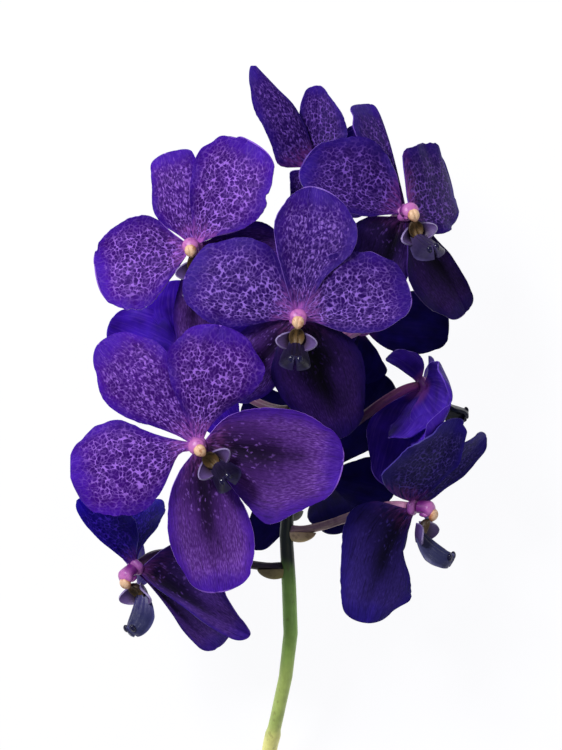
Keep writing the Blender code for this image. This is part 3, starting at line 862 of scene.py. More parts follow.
def half_width(widths: tuple[float, ...], along: float, blunt: float) -> float:
    """A blade's half-width: smooth through the stations, then off to a tip.

    Args:
        widths: The half-widths at STATIONS.
        along: 0 at the hub, 1 at the tip.
        blunt: The tip's form: 2 is round, more is squarer.

    Returns:
        The half-width in millimetres.
    """
    last = len(STATIONS) - 1

    def slope(low: int, high: int) -> float:
        """How fast the half-width grows between two stations."""
        return (widths[high] - widths[low]) / (STATIONS[high] - STATIONS[low])

    if along >= STATIONS[last]:
        span = 1.0 - STATIONS[last]
        share = min(1.0, (along - STATIONS[last]) / span)
        return (widths[last] + 0.5 * slope(last - 1, last) * span * share) * (1.0 - share**blunt) ** 0.5
    k = max(i for i in range(last) if STATIONS[i] <= along)
    start, end = slope(max(0, k - 1), k + 1), slope(k, min(last, k + 2))
    span = STATIONS[k + 1] - STATIONS[k]
    s = (along - STATIONS[k]) / span
    ends = (2 * s**3 - 3 * s**2 + 1) * widths[k] + (3 * s**2 - 2 * s**3) * widths[k + 1]
    return ends + ((s**3 - 2 * s**2 + s) * start + (s**3 - s**2) * end) * span


@dataclass(frozen=True)
class Blade:
    """A sepal or petal: its tip from the bloom's middle, and its half-widths at STATIONS.

    The right side is like the left one where it isn't given. The other fields give the arch of its
    midline, its sideways bend, its cup, the curl of its tip, the ripple of its margin, how blunt its
    tip is, the way its face looks, its height on the hub, how much painted shade darkens it (below 1)
    and painted light brightens it (above 1), its own colours where they aren't the bloom's (the darker
    plum tone on a lower sepal is painted shade), and notches in its margin as (side, place along,
    depth, length).
    """

    kind: Kind
    tip: tuple[float, float, float]
    left: tuple[float, ...]
    right: tuple[float, ...] = ()
    arch: float = 3.0
    bend: float = 0.0
    cup: float = 2.0
    curl: float = 1.5
    wave: float = 0.6
    waves: float = 2.5
    phase: float = 0.0
    blunt: float = 2.0
    look: tuple[float, ...] = ()
    lift: float | None = None
    # painted shade below 1 and painted light above 1, over the whole face
    shade: float = 1.0
    tone: Tone | None = None
    notches: tuple[tuple[float, ...], ...] = ()

    def plain(self, along: float, across: float) -> float:
        """The half-width on the side of that place, without notches."""
        return half_width(self.left if across > 0 else self.right or self.left, along, self.blunt)

    def half(self, along: float, across: float) -> float:
        """The half-width on the side of that place, with the margin's notches.

        Args:
            along: 0 at the hub, 1 at the tip.
            across: -1 at the right margin, 1 at the left.

        Returns:
            The half-width in millimetres.
        """
        wide = self.plain(along, across)
        for side, place, depth, length in self.notches:
            if side * across > 0:
                wide -= depth * hump(along, place, length)
        return max(0.0, wide)


@dataclass(frozen=True)
class Bloom:
    """A bloom: its middle, the way it faces, the way its top sepal points, and where its pedicel starts."""

    name: str
    tone: Tone
    middle: tuple[float, float, float]
    facing: tuple[float, float, float]
    top: tuple[float, float, float]
    root: float
    blades: dict[str, Blade]
    lip: float = 1.0

    def face(self) -> Vector:
        """The way that the bloom faces."""
        return Vector(self.facing).normalized()

    def axes(self) -> Matrix:
        """The bloom's own frame: X to its right, Y to its top sepal, Z the way it faces.

        Returns:
            The frame, which takes a point of the bloom to its place in the spray.
        """
        face = self.face()
        top = Vector(self.top)
        top = (top - face * top.dot(face)).normalized()
        turn = Matrix((top.cross(face), top, face)).transposed().to_4x4()
        return Matrix.Translation(Vector(self.middle)) @ turn


def scaled(widths: tuple[float, ...], factor: float) -> tuple[float, ...]:
    """Half-widths, each multiplied."""
    return tuple(round(width * factor, 2) for width in widths)


# The three kinds of blade
dorsal = partial(Blade, Kind.DORSAL)
lateral = partial(Blade, Kind.LATERAL)
petal = partial(Blade, Kind.PETAL)

# A blade's shade below 1 is painted shade and above 1 painted light; the plum tone on a lower sepal is
# painted shade
BLOOMS = (
    Bloom(
        "a", Tone.VIOLET, middle=(-31.7, 71.9, 70.0), facing=(-0.18, 0.05, 1.0), top=(-0.2, 0.98, 0.0),
        root=46.0,
        blades={
            "dorsal": dorsal(
                (-11.5, 35.8, -4.0), (1.5, 4.5, 9.5, 10.5, 8.5, 7.0), (1.5, 2.5, 5.5, 8.5, 11.0, 10.5),
                cup=-1.5, blunt=4.0,
            ),
            "petal_r": petal(
                (20.0, 40.5, 5.0), (1.5, 4.0, 8.5, 12.5, 14.0, 10.5), (1.5, 6.0, 15.0, 19.0, 17.5, 15.0),
                phase=0.8, wave=1.0, blunt=2.3, notches=((1, 0.965, 2.6, 0.02), (-1, 0.63, 1.5, 0.03)),
            ),
            "petal_l": petal(
                (-38.3, -6.8, -5.0), (1.5, 6.5, 14.0, 19.5, 19.5, 16.0), (1.5, 6.0, 14.0, 15.0, 13.0, 8.5),
                phase=2.0, wave=1.0, notches=((-1, 0.93, 1.5, 0.02),),
            ),
            "lat_r": lateral(
                (35.5, -1.5, -7.0), (1.5, 3.5, 7.5, 10.3, 10.8, 7.5), (1.5, 6.0, 11.5, 14.0, 13.5, 10.5),
                cup=-1.0, shade=0.7,
            ),
            "lat_l": lateral(
                (0.0, -41.0, -10.0), (1.5, 4.0, 7.0, 9.0, 9.5, 7.5), (1.5, 3.0, 5.5, 7.5, 8.0, 7.0),
                cup=-1.0, shade=0.6,
            ),
        },
    ),
    Bloom(
        "b", Tone.PURPLE, middle=(7.4, 44.8, 92.0), facing=(0.02, 0.05, 1.0), top=(0.08, 0.99, 0.0),
        root=22.0,
        blades={
            "dorsal": dorsal(
                (5.2, 48.9, 1.0), (1.5, 4.0, 7.5, 11.0, 12.5, 9.0), (1.5, 4.5, 8.5, 17.0, 18.5, 13.5),
                cup=2.2, wave=0.4, blunt=1.2,
            ),
            "petal_l": petal(
                (-42.3, 15.0, 1.0), (1.5, 3.5, 8.0, 12.0, 12.5, 9.5), (2.0, 9.0, 19.5, 22.5, 20.5, 16.0),
                cup=-2.0, phase=1.1, wave=0.8,
            ),
            "petal_r": petal(
                (42.3, 8.2, -1.0), (1.5, 9.0, 20.0, 20.5, 19.0, 14.5), (1.5, 3.5, 8.0, 10.5, 10.5, 7.5),
                phase=0.3, cup=1.6, wave=0.8, shade=0.9,
            ),
            "lat_l": lateral(
                (-26.0, -30.5, -14.0), (1.5, 4.0, 7.0, 9.5, 10.0, 7.0), (2.5, 7.5, 12.0, 13.0, 11.5, 7.5),
                cup=-1.0, shade=1.6,
            ),
            "lat_r": lateral(
                (17.5, -45.0, -12.0), (2.5, 10.5, 16.5, 17.0, 14.0, 10.5),
                (3.5, 11.5, 17.0, 16.5, 13.0, 8.0), cup=-2.5, wave=0.4, tone=Tone.PLUM,
            ),
        },
    ),
    Bloom(
        "c", Tone.VIOLET, middle=(-29.9, -2.5, 88.0), facing=(-0.06, -0.05, 1.0), top=(-0.7, 0.71, 0.0),
        root=-14.0,
        blades={
            "dorsal": dorsal(
                (-37.4, 37.8, -3.0), (1.5, 3.2, 7.5, 12.5, 13.3, 8.0), (1.5, 4.0, 9.0, 15.0, 16.3, 11.8),
                cup=-1.5, blunt=2.2,
            ),
            "petal_r": petal(
                (8.4, 44.3, 9.0), (1.5, 4.5, 10.5, 15.5, 17.5, 13.0), (1.5, 3.0, 8.5, 17.0, 19.5, 13.5),
                cup=-2.0, phase=0.5, wave=0.9, shade=0.8,
            ),
            "petal_l": petal(
                (-48.2, -10.8, -2.0), (1.5, 2.0, 13.5, 20.0, 19.5, 16.5), (1.5, 4.0, 8.5, 15.5, 15.5, 10.8),
                phase=2.2, cup=-2.0, wave=0.9,
            ),
            "lat_r": lateral(
                (54.3, -5.6, 2.0), (1.5, 10.5, 15.5, 17.0, 16.0, 11.5), (1.5, 7.5, 18.0, 26.5, 21.5, 16.0),
                cup=1.5, wave=0.5, shade=0.9,
            ),
            "lat_l": lateral(
                (7.4, -55.5, -6.0), (1.5, 6.5, 12.0, 15.8, 16.4, 13.5), (1.5, 8.0, 13.2, 15.2, 14.2, 10.5),
                cup=2.0, wave=0.4,
            ),
        },
    ),
    Bloom(
        "d", Tone.INDIGO, middle=(47.5, 84.7, 72.0), facing=(0.32, 0.1, 1.0), top=(-0.34, 0.94, 0.1),
        root=60.0,
        blades={
            "dorsal": dorsal(
                (-11.3, 42.5, -12.0), (1.5, 3.5, 6.5, 10.0, 15.5, 13.5), (1.5, 1.2, 1.0, 1.0, 1.2, 1.6),
                cup=0.5, blunt=4.0, look=(0.65, 0.1, 0.75),
            ),
            "petal_l": petal(
                (-39.0, 16.0, 10.0), (1.5, 4.0, 8.0, 9.5, 9.0, 7.0), (2.0, 9.0, 17.5, 20.5, 18.0, 13.0),
                phase=0.6, wave=0.8,
            ),
            "petal_r": petal(
                (21.7, 7.0, -27.0), (5.5, 21.0, 23.3, 23.8, 22.6, 18.0), (1.5, 7.0, 11.0, 11.5, 9.5, 6.0),
                phase=1.6, cup=0.5, wave=0.9, arch=4.0, blunt=3.0, look=(0.83, 0.2, 0.49),
            ),
            "lat_r": lateral(
                (25.4, -37.0, -20.0), (1.5, 4.0, 4.4, 5.6, 5.6, 5.0), (1.5, 5.5, 12.5, 15.5, 14.0, 9.5),
                cup=2.0, blunt=2.6, tone=Tone.PLUM,
            ),
            "lat_l": lateral(
                (-12.0, -32.5, -2.0), (1.5, 4.5, 7.5, 9.5, 10.0, 8.0), (2.0, 13.0, 17.0, 15.0, 11.5, 7.5),
                cup=-1.0, shade=0.8,
            ),
        },
    ),
    Bloom(
        "e", Tone.INDIGO, middle=(15.2, 103.2, 56.0), facing=(0.15, 0.2, -0.95), top=(-0.5, 0.8, 0.1),
        root=82.0, lip=0.8,
        blades={
            "dorsal": dorsal(
                (-24.3, 38.6, 8.0), (4.0, 12.0, 11.0, 9.8, 8.8, 5.5), (1.5, 2.0, 4.0, 4.5, 2.5, 1.0),
                cup=-3.0, blunt=1.2, look=(0.1, 0.3, 0.95),
            ),
            "petal_l": petal(
                (-9.5, -17.0, -2.0), (1.0, 2.5, 5.0, 6.0, 6.0, 4.5), (1.0, 4.0, 8.0, 6.0, 4.0, 3.0),
                look=(0.1, 0.3, 0.95),
            ),
            "petal_r": petal(
                (0.4, 31.5, -5.0), (1.5, 3.5, 7.5, 7.5, 7.0, 5.5), (1.5, 5.0, 11.0, 10.0, 7.0, 3.5),
                look=(0.0, 0.2, 0.95),
            ),
            "lat_r": lateral((26.0, 12.0, -8.0), scaled(SEPAL, 0.8), cup=-1.0),
            "lat_l": lateral((19.0, -17.0, -4.0), scaled(SEPAL, 0.75), cup=-1.0),
        },
    ),
    Bloom(
        "f", Tone.SLATE, middle=(51.2, -26.6, 58.0), facing=(0.9, -0.1, 0.4), top=(0.0, 0.95, 0.2),
        root=-36.0, lip=1.1,
        blades={
            "dorsal": dorsal(
                (29.7, 25.6, -14.0), (1.5, 3.5, 6.0, 9.0, 10.2, 8.2), (1.5, 4.0, 5.0, 5.5, 5.5, 4.5),
                arch=0.5, lift=-1.0,
            ),
            "petal_l": petal(
                (18.0, 33.0, 15.0), (1.5, 17.0, 24.5, 22.5, 16.5, 11.5), (1.2, 2.2, 4.8, 7.0, 6.5, 5.0),
                wave=0.9, look=(0.55, -0.2, 0.75), lift=0.3, notches=((-1, 0.95, 1.6, 0.025),),
            ),
            "petal_r": petal((8.5, 6.0, -40.0), scaled(PETAL, 0.9)),
            "lat_r": lateral((-16.5, -33.0, -17.0), scaled(SEPAL, 0.6), SEPAL),
            "lat_l": lateral(
                (-17.4, -43.2, 14.0), (1.5, 3.2, 6.3, 14.0, 17.2, 10.5),
                (1.5, 13.5, 20.3, 18.3, 14.4, 11.0), bend=-8.0, cup=-2.0, blunt=3.0,
                look=(0.35, -0.15, 0.92), lift=-0.3,
            ),
        },
    ),
    Bloom(
        "g", Tone.IRIS, middle=(55.0, 19.8, 50.0), facing=(0.8, 0.15, -0.45), top=(-0.6, 0.75, -0.2),
        root=-4.0, lip=0.85,
        blades={
            "dorsal": dorsal(
                (-13.8, 11.5, 6.0), (1.5, 5.0, 7.0, 6.5, 5.5, 4.0), (1.5, 1.5, 1.8, 2.0, 2.2, 2.0),
                look=(0.4, 0.1, -0.9),
            ),
            "petal_l": petal(
                (11.5, -6.5, 30.0), (1.5, 9.0, 20.0, 25.0, 25.0, 19.0), (1.5, 4.5, 9.0, 12.0, 12.0, 9.0),
                cup=-7.0, look=(0.97, -0.19, -0.2),
            ),
            "petal_r": petal((6.0, -1.0, -35.0), scaled(PETAL, 0.72)),
            "lat_l": lateral(
                (-13.5, -38.5, -6.0), (1.5, 6.0, 12.0, 15.0, 12.0, 8.0), (1.5, 4.0, 6.0, 6.0, 5.0, 4.0),
                cup=-2.0, look=(0.3, 0.0, -0.95),
            ),
            "lat_r": lateral(
                (-10.0, -21.0, 13.0), (1.5, 3.5, 6.5, 9.0, 9.0, 6.5), (1.5, 3.5, 6.5, 8.0, 8.0, 6.0),
                look=(0.6, -0.1, -0.7),
            ),
        },
    ),
    Bloom(
        "h", Tone.INDIGO, middle=(-54.4, -49.8, 50.0), facing=(-0.55, -0.5, 0.67), top=(-0.1, 0.88, 0.0),
        root=-50.3, lip=1.1,
        blades={
            "dorsal": dorsal(
                (4.0, 26.0, -14.0), (1.5, 4.0, 8.0, 10.5, 10.5, 8.0), (1.5, 2.0, 5.0, 9.5, 10.5, 8.5),
                look=(-0.4, -0.2, 0.9), tone=Tone.COBALT,
            ),
            "petal_l": petal(
                (-22.0, 25.5, 10.0), (1.0, 1.2, 2.0, 2.8, 3.2, 2.8), (1.5, 6.0, 12.0, 15.0, 14.0, 9.0),
                wave=0.9, look=(-0.3, -0.2, 0.93), tone=Tone.COBALT,
            ),
            "petal_r": petal((-1.0, 9.0, -38.0), scaled(PETAL, 0.85)),
            "lat_l": lateral(
                (43.3, -26.0, 8.0), (1.5, 15.5, 21.5, 18.0, 10.0, 4.8), (1.5, 2.5, 3.0, 3.5, 4.5, 4.5),
                look=(-0.2, -0.2, 0.95),
            ),
            "lat_r": lateral(
                (30.5, -33.0, -14.0), (1.5, 4.0, 7.0, 9.5, 12.0, 11.0), (1.5, 1.0, 1.2, 2.2, 3.8, 4.2),
                look=(-0.3, -0.2, 0.9),
            ),
        },
    ),
    Bloom(
        "i", Tone.BLUE, middle=(-37.4, 32.5, 22.0), facing=(-0.35, 0.2, -0.9), top=(-0.9, 0.4, 0.3),
        root=10.0, lip=0.8,
        blades={
            "dorsal": dorsal(
                (-28.5, 11.0, 0.0), (1.5, 5.0, 10.0, 11.5, 10.5, 7.5), (1.5, 6.5, 11.5, 13.0, 11.5, 8.0),
            ),
            "petal_l": petal((-17.0, -25.0, -24.5), scaled(PETAL, 0.75), curl=4.5, cup=-2.5, wave=0.0),
            "petal_r": petal((-2.0, 28.0, -4.0), scaled(PETAL, 0.75)),
            "lat_l": lateral((18.5, -31.5, -12.0), scaled(SEPAL, 0.9), cup=-1.0, blunt=3.0),
            "lat_r": lateral((27.0, 11.0, -14.0), scaled(SEPAL, 0.9), cup=-1.0),
        },
    ),
    Bloom(
        "j", Tone.NAVY_IN_SHADE, middle=(17.5, -15.5, 19.0), facing=(0.05, 0.1, -1.0), top=(0.9, -0.2, 0.0),
        root=-28.0, lip=0.8,
        blades={
            "dorsal": dorsal((28.0, -6.0, -5.0), scaled(SEPAL, 0.95)),
            "petal_l": petal(
                (24.5, 38.5, -14.0), scaled(PETAL, 0.85), (1.5, 4.0, 9.0, 14.5, 15.0, 11.0), blunt=2.6,
            ),
            "petal_r": petal(
                (7.5, -20.5, -22.9), scaled(PETAL, 0.7), scaled(PETAL, 0.5), cup=-2.5, curl=4.5, wave=0.0,
            ),
            "lat_l": lateral((-29.0, 31.0, -6.0), scaled(SEPAL, 1.1), cup=-1.0),
            "lat_r": lateral(
                (-27.5, -28.5, -10.0), scaled(SEPAL, 0.95), (1.5, 1.5, 1.6, 2.8, 4.6, 4.5), cup=-1.0,
            ),
        },
    ),
    Bloom(
        "k", Tone.NAVY_IN_SHADE, middle=(33.0, 42.0, 22.0), facing=(0.3, 0.15, -0.95), top=(0.95, 0.1, 0.3),
        root=34.0, lip=0.8,
        blades={
            "dorsal": dorsal(
                (33.2, -3.5, 5.0), (1.5, 5.0, 8.0, 9.0, 8.0, 5.5), (1.5, 8.0, 14.0, 16.0, 15.0, 12.0),
            ),
            "petal_l": petal((6.0, 31.0, -25.3), scaled(PETAL, 0.75), curl=4.5, cup=-2.5, wave=0.0),
            "petal_r": petal(
                (-7.0, -23.0, -10.0), (1.0, 1.5, 4.0, 9.0, 11.0, 8.0), (1.0, 4.0, 9.0, 13.5, 11.5, 6.5),
            ),
            "lat_l": lateral((-23.0, 16.0, -7.0), scaled(SEPAL, 0.9), cup=-1.0),
            "lat_r": lateral((-24.0, -11.0, -8.0), scaled(SEPAL, 0.85), cup=-1.0),
        },
    ),
)


@dataclass(frozen=True)
class Tepals:
    """The five sepals and petals of a bloom, on the hub that their claws grow from."""

    bloom: Bloom
    thickness: float = 0.55
    full: float = 10.0
    ripple: float = 0.22
    nibble: float = 0.05
    hub_ridge: float = 0.05

    def rows(self) -> list[float]:
        """Places along a blade, closer together near its tip."""
        return crowded(BLADE_ROWS, 0.9985, 1.6)

    def cols(self) -> list[float]:
        """Places across a blade, closer together near its margins."""
        shares = [2.0 * k / BLADE_COLS - 1.0 for k in range(BLADE_COLS + 1)]
        return [-0.78 * share - 0.22 * math.sin(math.pi * share / 2) for share in shares]

    def point(self, blade: Blade, along: float, across: float) -> Vector:
        """A point of a blade's middle surface.

        Args:
            blade: The blade.
            along: 0 at the hub, 1 at the tip.
            across: -1 at its right margin, 1 at its left.

        Returns:
            The point in millimetres.
        """
        face = self.bloom.face()
        tip = Vector(blade.tip)
        flat = (tip - face * tip.dot(face)).normalized()
        start = flat * CLAW + face * (blade.kind.layer if blade.lift is None else blade.lift)
        look = Vector(blade.look) if blade.look else face
        side = look.cross(tip - start).normalized()
        normal = (tip - start).cross(side).normalized()
        square = across * across
        reach = along + (1.0 - along) * (1.0 - square) * ramp(along, TIP_FROM, 1.0)
        middle = (start + tip) / 2 + normal * blade.arch + side * blade.bend
        spine = start * (1 - reach) ** 2 + middle * 2 * reach * (1 - reach) + tip * reach**2
        run = ((middle - start) * (1 - reach) + (tip - middle) * reach).normalized()
        over = (side - run * side.dot(run)).normalized()
        out = run.cross(over)
        wide = blade.half(along, across)
        share = min(1.0, wide / self.full)
        turn = 2 * math.pi * blade.waves * along + blade.phase + 1.3 * across
        height = blade.cup * square * share + blade.wave * share * square * math.sin(turn)
        height -= blade.curl * ramp(reach, CURL_FROM, 1.0) ** 2
        height -= GROOVE * max(0.0, 1.0 - abs(across) / GROOVE_HALF) * share
        place = Vector((along * 7.0, across * 1.5, blade.phase + 3.0 * len(blade.look)))
        height += self.ripple * share * (0.3 + square) * (noise.noise(place * 1.4) * 1.6)
        wide *= 1.0 - self.nibble * share * abs(noise.noise(place * 2.1)) * square
        spot = Vector(self.bloom.middle) + spine + over * across * wide + out * height
        return Vector((spot.x, spot.y, max(self.thickness / 2, spot.z)))

    def blade(self, shop: Workshop, name: str, blade: Blade, number: int) -> bpy.types.Object:
        """Makes one sepal or petal.

        Args:
            shop: The workshop.
            name: Its name.
            blade: Its form.
            number: Its place in the bloom, which moves its pattern.

        Returns:
            The blade's object, with its thickness.
        """
        rows, cols = self.rows(), self.cols()
        obj = shop.sheet(name, rows, cols, partial(self.point, blade))
        long = Vector(blade.tip).length / (CELL * CELL_LONG)
        layer = obj.data.uv_layers.new(name="cells")
        shift = 37.0 * number + 7.3 * ord(self.bloom.name)
        for cell, loop in zip(layer.data, obj.data.uv_layers[0].data):
            along = rows[round(loop.uv.y * BLADE_ROWS)]
            across = cols[round(loop.uv.x * BLADE_COLS)]
            spread = across * math.sqrt(max(blade.plain(along, across), 0.1) * CELL_HALF) / CELL
            cell.uv = (spread + shift, along * long)
            loop.uv = (across / 2 + 0.5, along)
        tone = blade.tone or self.bloom.tone
        front = FrontFinish(blade.kind, tone, blade.shade)
        return shop.thicken(obj, self.thickness, front, BackFinish(tone), RimHighlightFinish(tone))

    def hub(self, shop: Workshop) -> bpy.types.Object:
        """The boss that the claws grow from.

        Args:
            shop: The workshop.

        Returns:
            The boss's object.
        """
        axes = self.bloom.axes()

        def place(share: float, turn: float) -> Vector:
            """A point of the boss.

            Args:
                share: From pole to pole.
                turn: Round it, in radians.

            Returns:
                The point in millimetres.
            """
            angle = math.pi * share
            radius = HUB_RADIUS * math.sin(angle) ** 0.7 * (1.0 + self.hub_ridge * math.cos(5 * turn))
            spot = (radius * math.cos(turn), radius * math.sin(turn), -HUB_HALF * math.cos(angle))
            return axes @ Vector(spot)

        return shop.skin("hub", 30, 14, place, BOSS)

    def build(self, shop: Workshop) -> None:
        """Builds the sepals and petals as one piece.

        Args:
            shop: The workshop.
        """
        name = self.bloom.name
        blades = enumerate(self.bloom.blades.items())
        pieces = [self.blade(shop, key, blade, number) for number, (key, blade) in blades]
        obj = shop.joined(f"sepals_and_petals_{name}", [*pieces, self.hub(shop)])
        shop.settle(obj, f"bloom_{name}_tepals")


@dataclass(frozen=True)
class Column:
    """The stout pink column with its stigma hollow, two small wings and the cream anther cap."""

    bloom: Bloom
    foot: float = 2.5
    waist: float = 2.8
    hood: float = 3.2
    height: float = 7.0
    hollow: float = 1.7
    cap: tuple[float, float, float] = (2.3, 2.4, 1.9)
    cap_place: tuple[float, float] = (-2.0, 6.4)
    cap_groove: float = 0.45
    beak: float = 0.4
    wing: tuple[float, float, float] = (0.7, 0.9, 1.9)
    wing_place: tuple[float, float, float] = (2.2, -2.0, 3.4)

    def body_point(self, share: float, turn: float) -> Vector:
        """A point of the column's body, in the bloom's frame.

        Args:
            share: From the foot to the top.
            turn: Round it, in radians.

        Returns:
            The point in millimetres.
        """
        up = 0.5 - 0.5 * math.cos(math.pi * share)
        grown = self.foot + (self.waist - self.foot) * ramp(up, 0.0, 0.4)
        grown += (self.hood - self.waist) * ramp(up, 0.4, 0.75)
        end = math.sqrt(1.0 - ramp(up, 0.66, 1.0) ** 2.2)
        radius = grown * end * ramp(up, 0.0, 0.04) ** 0.5
        hollow = self.hollow * max(0.0, -math.sin(turn)) ** 3 * hump(up, 0.42, 0.14)
        lean = 0.3 + 0.5 * up - 1.3 * up * up
        reach = max(0.0, radius * (1.0 + 0.03 * math.cos(2 * turn)) - hollow)
        return Vector((reach * math.cos(turn), lean + reach * math.sin(turn), BASE + self.height * up))

    def cap_point(self, share: float, turn: float) -> Vector:
        """A point of the anther cap, with a groove down its middle and a beak at the front.

        Args:
            share: From the bottom to the top.
            turn: Round it, in radians.

        Returns:
            The point in millimetres, in the bloom's frame.
        """
        x, y, z = (size * part for size, part in zip(self.cap, ball(share, turn)))
        groove = self.cap_groove * hump(x, 0.0, 0.55) if z > 0 else 0.0
        beak = self.beak * max(0.0, -math.sin(turn)) ** 8 * math.sin(math.pi * share)
        front, up = self.cap_place
        return Vector((x, front + y - beak, BASE + up + z - groove - 0.5 * beak))

    def wing_point(self, side: float, share: float, turn: float) -> Vector:
        """A point of a small wing beside the hollow.

        Args:
            side: -1 for the left wing, 1 for the right one.
            share: From the bottom to the top.
            turn: Round it, in radians.

        Returns:
            The point in millimetres, in the bloom's frame.
        """
        x, y, z = (size * part for size, part in zip(self.wing, ball(share, turn)))
        out, front, up = self.wing_place
        return Vector((x + side * out, y + front, z + BASE + up))

    def build(self, shop: Workshop) -> None:
        """Builds the column as one piece.

        Args:
            shop: The workshop.
        """
        axes = self.bloom.axes()

        def lay(point: Callable[..., Vector], *first: float) -> Place:
            """The same point, in the spray's coordinates."""
            return lambda share, turn: axes @ point(*first, share, turn)

        pieces = [shop.skin("column_body", 40, 30, lay(self.body_point), HOOD)]
        for side in (-1.0, 1.0):
            pieces.append(shop.skin("column_wing", 14, 10, lay(self.wing_point, side), HOOD))
        pieces.append(shop.skin("anther_cap", 32, 20, lay(self.cap_point), CAP))
        obj = shop.joined(f"column_and_cap_{self.bloom.name}", pieces)
        shop.settle(obj, f"bloom_{self.bloom.name}_column")


@dataclass(frozen=True)
class Lip:
    """The lip: a hollow throat, two side lobes that stand like ears, and a ridged midlobe with knobs."""

    bloom: Bloom
    throat: tuple[float, float, float] = (3.0, 3.6, 2.6)
    throat_tilt: float = 18.0
    ear_height: float = 5.0
    ear_thick: float = 0.7
    tongue_width: float = 6.2
    tongue_start: float = 2.4
    tongue_run: tuple[float, float] = (8.0, 12.8)
    tongue_arch: float = 4.0
    tongue_thick: float = 1.2
    knob: tuple[float, float, float] = (1.2, 1.5, 0.9)

    def build(self, shop: Workshop) -> None:
        """Builds the lip as one piece.

        Args:
            shop: The workshop.
        """
        sides = (-1.0, 1.0)
        pieces = [self.bowl(shop), *(self.ear(shop, side) for side in sides), self.tongue(shop)]
        pieces += [self.tip(shop, side) for side in sides]
        obj = shop.joined(f"lip_{self.bloom.name}", pieces)
        shop.settle(obj, f"bloom_{self.bloom.name}_lip")

    def bowl(self, shop: Workshop) -> bpy.types.Object:
        """The throat, a small bowl below the column.

        Args:
            shop: The workshop.

        Returns:
            The throat's object.
        """
        axes, size = self.bloom.axes(), self.bloom.lip
        turned = Matrix.Rotation(math.radians(self.throat_tilt), 4, "X")

        def place(share: float, turn: float) -> Vector:
            """A point of the bowl, with a callus in its middle.

            Args:
                share: From pole to pole.
                turn: Round it, in radians.

            Returns:
                The point in millimetres.
            """
            x, y, z = ball(share, turn)
            if z > 0:
                z -= 1.5 * z * z - 0.35 * z * hump(x, 0.0, 0.2)
            across, along, deep = self.throat
            spot = turned @ Vector((across * size * x, along * size * y, deep * z))
            return axes @ (spot + Vector((0.0, -LIP_TOP - 3.4 * size, BASE + 3.2)))

        return shop.skin("throat", 30, 20, place, THROAT)

    def ear(self, shop: Workshop, side: float) -> bpy.types.Object:
        """A side lobe, which stands up and flares outwards.

        Args:
            shop: The workshop.
            side: -1 for the left one, 1 for the right one.

        Returns:
            The lobe's object.
        """
        axes, size = self.bloom.axes(), self.bloom.lip

        def place(up: float, along: float) -> Vector:
            """A point of the lobe, which runs from the front of the throat back beside the column.

            Args:
                up: 0 at its foot, 1 at its edge.
                along: -1 at one end, 1 at the other.

            Returns:
                The point in millimetres.
            """
            back = 0.5 + 0.5 * along * math.sqrt(max(0.0, 1.0 - up**3.0))
            flare = 1.5 + 4.3 * math.sin(math.pi * (0.18 + 0.7 * back))
            x = side * size * (0.9 + 0.9 * math.sin(math.pi * back) + up * flare)
            y = -LIP_TOP + size * (-8.4 + 6.8 * back + up * (0.9 * back - 0.7))
            z = BASE + size * (0.1 + self.ear_height * up**0.9)
            return axes @ Vector((x, y, z))

        cols = [side * across for across in even(10)]
        obj = shop.sheet("side_lobe", crowded(18, 0.998, 1.6), cols, place)
        return shop.thicken(obj, self.ear_thick, EAR_INSIDE, EAR, EAR_RIM)

    def tongue(self, shop: Workshop) -> bpy.types.Object:
        """The midlobe: it juts out, arched across, with three ridges and a notched tip.

        Args:
            shop: The workshop.

        Returns:
            The midlobe's object.
        """
        axes, size = self.bloom.axes(), self.bloom.lip

        def place(along: float, across: float) -> Vector:
            """A point of the midlobe.

            Args:
                along: 0 at its root, 1 at its tip.
                across: -1 at one margin, 1 at the other.

            Returns:
                The point in millimetres.
            """
            swell = 0.62 + 0.38 * math.sin(math.pi * min(0.5, 0.12 + 0.7 * along))
            end = math.sqrt(1.0 - ramp(along, 0.62, 1.0) ** 2.8)
            wide = (self.tongue_start + (self.tongue_width - self.tongue_start) * along**0.6) * swell * end
            notch = 1.1 * ramp(along, 0.8, 1.0) * hump(across, 0.0, 0.28)
            y = -LIP_TOP - size * (4.7 + self.tongue_run[0] * along - notch)
            z = BASE + size * (1.0 + self.tongue_run[1] * along**1.5)
            ridge = 0.8 * hump(across, 0.0, 0.1) + 0.6 * hump(abs(across), 0.34, 0.1)
            ridge *= math.sin(math.pi * min(1.0, along * 1.05)) ** 0.7
            lifted = size * (ridge - self.tongue_arch * across * across * min(1.0, 1.6 * along))
            return axes @ Vector((wide * size * across, y + 0.85 * lifted, z + 0.53 * lifted))

        obj = shop.sheet("midlobe", crowded(28, 0.998, 1.5), even(14), place)
        return shop.thicken(obj, self.tongue_thick, TONGUES.get(self.bloom.name, TONGUE))

    def tip(self, shop: Workshop, side: float) -> bpy.types.Object:
        """A dark glossy knob at the midlobe's tip.

        Args:
            shop: The workshop.
            side: -1 for the left one, 1 for the right one.

        Returns:
            The knob's object.
        """
        axes, size = self.bloom.axes(), self.bloom.lip
        middle = Vector((side * 1.5, -LIP_TOP / size - 12.2, BASE / size + 13.0))

        def place(share: float, turn: float) -> Vector:
            """A point of the knob.

            Args:
                share: From pole to pole.
                turn: Round it, in radians.

            Returns:
                The point in millimetres.
            """
            spot = Vector([half * part for half, part in zip(self.knob, ball(share, turn))])
            return axes @ ((spot + middle) * size)

        return shop.skin("tip_knob", 18, 12, place, KNOB)


